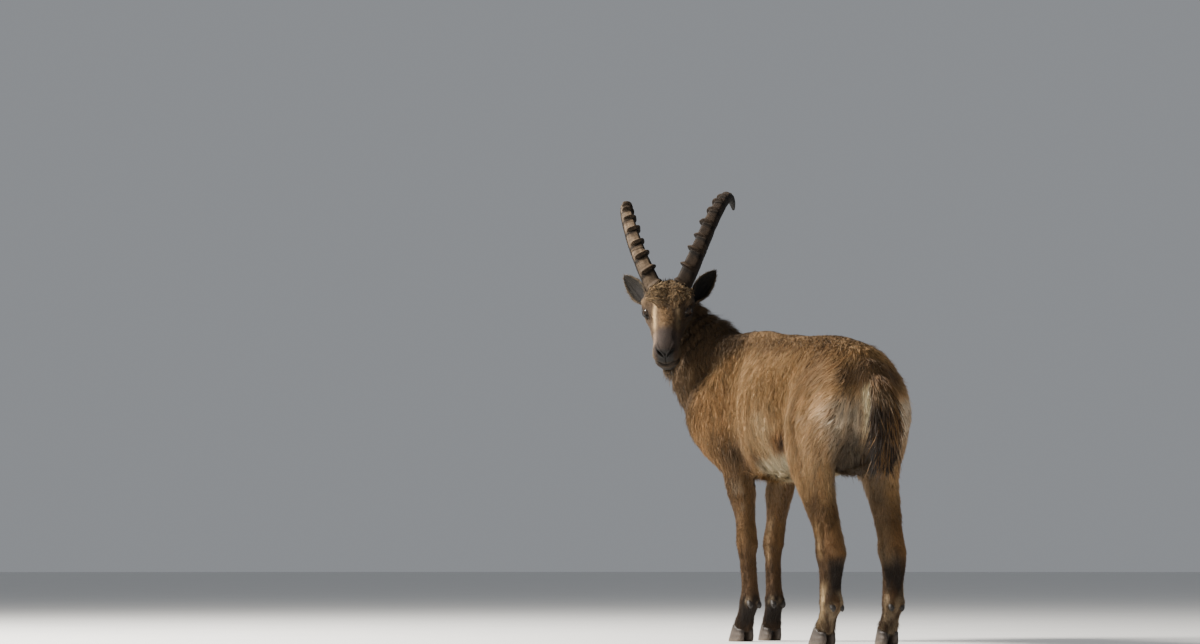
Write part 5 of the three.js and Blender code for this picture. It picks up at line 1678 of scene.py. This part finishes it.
def make_claw(leg, which, side):
    rings, around = 34, 56
    k = np.linspace(0, 1, rings)
    a = 2 * np.pi * np.arange(around) / around
    K, A_ = np.meshgrid(k, a, indexing="ij")
    z_front = 0.3 + K * 47.5
    z_back = 0.3 + K * 33.0
    ca, sa = np.cos(A_), np.sin(A_)
    fwd_half = np.interp(K, [0, 0.15, 0.5, 0.85, 1], [38.0, 37.0, 31.0, 25.0, 21.0])
    back_half = np.interp(K, [0, 0.12, 0.5, 1], [28.0, 30.0, 28.0, 21.0])
    half = np.interp(K, [0, 0.1, 0.5, 0.85, 1], [13.0, 13.4, 12.6, 11.6, 9.6])
    centre = np.interp(K, [0, 0.5, 1], [14.5, 8.5, 2.0])
    half = np.where(sa * side < 0, half * 0.9, half)
    pw = np.where(ca > 0, 2 / 1.75, 2 / 2.4)
    fx = np.where(ca > 0, fwd_half, back_half) * np.sign(ca) * np.abs(ca) ** pw
    fy = half * np.sign(sa) * np.abs(sa) ** (2 / 2.2)
    heel = smooth(ca, -0.4, -1.0) * smooth(K, 0.9, 0.3)
    fx = fx - 2.0 * heel * np.sin(K * np.pi)
    rim_ = np.exp(-(((K - 0.93) / 0.05) ** 2))
    fy = fy + np.sign(sa) * np.abs(sa) * 1.0 * rim_
    fx = fx + ca * 1.0 * rim_
    groove = 0.22 * np.sin(K * 47 * 2 * np.pi / 5.2 + 0.8 * np.sin(3 * A_ + side))
    fx = fx + ca * groove * smooth(K, 0.0, 0.1)
    fy = fy + sa * groove * smooth(K, 0.0, 0.1)
    fwd = centre + fx
    left = side * (14.4 - 1.6 * smooth(fx, 10, 38) * (1 - K)) + fy
    u = (fwd - fwd.min(1, keepdims=True)) / np.ptp(fwd, axis=1)[:, None]
    z = mix(z_back, z_front, smooth(u, 0.05, 0.95))
    z = np.where(K == 0, 0.3 + 0 * z, z)
    z = np.where((K > 0) & (K < 0.06), z * 0.8, z)
    p = foot_place(leg, 13, fwd, left, 0)
    p[..., 2] = z
    blot = value_noise(p.reshape(-1, 3), 11, 71).reshape(K.shape)[..., None]
    col = np.tile(srgb(66, 56, 48), (rings * around, 1)).reshape(rings, around, 3)
    col = mix(col, srgb(98, 86, 73), (smooth(K, 0.35, 0.0) * 0.6)[..., None])
    col = mix(col, srgb(38, 31, 26), (smooth(K, 0.6, 0.9) * 0.8)[..., None])
    col = col * np.exp(0.22 * blot)
    c0 = foot_place(leg, 13, np.array(10.0), np.array(side * 14.4), 0)
    c0 = np.array([c0[0], c0[1], 1.2])
    c1 = foot_place(leg, 13, np.array(0.0), np.array(side * 13.0), 0)
    c1 = np.array([c1[0], c1[1], 44.0])
    closed_rings(f"{leg}_claw_{which}_look", p, c0, c1, col, K * 47, "hoof", f"{leg}_claw_{which}")


def make_dew(leg, side):
    _, turn, at = LEGS[leg]
    z0 = at[11][2]
    pts = np.array([[-13, 12, -1], [-21, 13, -7], [-27, 14, -14], [-29, 14.5, -21]], float)
    rad = np.array([[8, 8], [8.6, 8.2], [7.4, 6.4], [3.0, 3.0]])
    rings, around = 16, 24
    k = np.linspace(0, 3, rings)
    q = row_at(np.concatenate([pts, rad], 1), k)
    T = unit(np.gradient(q[:, :3], axis=0))
    U = unit(np.cross(T, np.array([0, 1.0, 0])))
    S = np.cross(U, T)
    a = 2 * np.pi * np.arange(around) / around
    local = q[:, None, :3] + S[:, None] * (q[:, 3:4] * np.cos(a))[..., None] + U[:, None] * (q[:, 4:5] * np.sin(a))[..., None]
    p = foot_place(leg, 11, local[..., 0], side * local[..., 1], 0)
    p[..., 2] = z0 + local[..., 2]
    ends = foot_place(leg, 11, np.array([pts[0, 0], pts[-1, 0]]), side * np.array([pts[0, 1], pts[-1, 1]]), 0)
    ends[:, 2] = [z0 + pts[0, 2], z0 + pts[-1, 2] - 2.0]
    K = np.broadcast_to(k[:, None] / 3, (rings, around))
    col = np.tile(srgb(34, 28, 24), (rings * around, 1)).reshape(rings, around, 3)
    closed_rings(f"{leg}_dew_{'a' if side > 0 else 'b'}", p, ends[0], ends[1], col, K * 30, "hoof")


for leg in LEGS:
    for which, side in (("a", 1), ("b", -1)):
        make_claw(leg, which, side)
        make_dew(leg, side)


# ---------------------------------------------------------------- stage, light and camera
def area(name, at, to, size, power, tint=(1, 1, 1)):
    l = bpy.data.lights.new(name, "AREA")
    l.shape = "RECTANGLE"
    l.size, l.size_y = size
    l.energy = power
    l.color = tint
    o = bpy.data.objects.new(name, l)
    bpy.context.scene.collection.objects.link(o)
    o.location = at
    o.rotation_mode = "QUATERNION"
    o.rotation_quaternion = (Vector(to) - Vector(at)).to_track_quat("-Z", "Y")
    return o


floor_me = bpy.data.meshes.new("floor")
R = 60.0
ring = [(R * math.cos(a), R * math.sin(a), 0) for a in np.linspace(0, 2 * math.pi, 97)[:-1]]
floor_me.from_pydata(ring, [], [list(range(96))])
floor = bpy.data.objects.new("floor", floor_me)
bpy.context.scene.collection.objects.link(floor)
m, nt, b = nodes_of("studio_floor")
tc = add(nt, "ShaderNodeTexCoord")
noise = add(nt, "ShaderNodeTexNoise", Scale=3.0, Detail=2.0)
nt.links.new(tc.outputs["Object"], noise.inputs["Vector"])
tone = ramp_node(nt, [(0.3, (0.72, 0.72, 0.71)), (0.7, (0.75, 0.75, 0.74))])
nt.links.new(noise.outputs["Fac"], tone.inputs["Fac"])
nt.links.new(tone.outputs["Color"], b.inputs["Base Color"])
b.inputs["Roughness"].default_value = 0.85
floor_me.materials.append(m)

world = bpy.data.worlds.new("studio")
bpy.context.scene.world = world
world.use_nodes = True
world.node_tree.nodes["Background"].inputs["Color"].default_value = (0.9, 0.94, 1.0, 1)
world.node_tree.nodes["Background"].inputs["Strength"].default_value = 0.3

shift = ORIGIN / 1000
EYE_POS = np.array([-8.96191807, 4.76513636, 0.22]) + shift
AXIS = np.array([0.90368722, -0.42357683, 0.06270634])
RIGHT = np.array([-0.42441206, -0.90546916, 0.0])
UP = np.array([-0.05677866, 0.02661333, 0.99803202])
centre = np.array([0.12, 0.05, 0.6]) + shift
# key from high on the picture's left, fill from the right, a little light from behind
area("key", tuple(centre - RIGHT * 3.9 - AXIS * 0.25 + np.array([0, 0, 3.0])), tuple(centre), (1.3, 1.3), 1000, (1.0, 0.95, 0.87))
area("fill", tuple(centre + RIGHT * 3.6 - AXIS * 3.2 + np.array([0, 0, 1.2])), tuple(centre), (3.0, 3.0), 34, (0.9, 0.95, 1.0))
area("rim", tuple(centre - RIGHT * 2.0 + AXIS * 2.8 + np.array([0, 0, 3.2])), tuple(centre), (2.2, 2.2), 90, (1.0, 0.97, 0.92))

cam = bpy.data.cameras.new("camera")
cam.lens = 113.64
cam.sensor_width = 36.0
cam.clip_start, cam.clip_end = 0.05, 200
camera = bpy.data.objects.new("camera", cam)
bpy.context.scene.collection.objects.link(camera)
camera.matrix_world = Matrix(
    [
        [RIGHT[0], UP[0], -AXIS[0], EYE_POS[0]],
        [RIGHT[1], UP[1], -AXIS[1], EYE_POS[1]],
        [RIGHT[2], UP[2], -AXIS[2], EYE_POS[2]],
        [0, 0, 0, 1],
    ]
)
bpy.context.scene.camera = camera

bpy.context.view_layer.update()
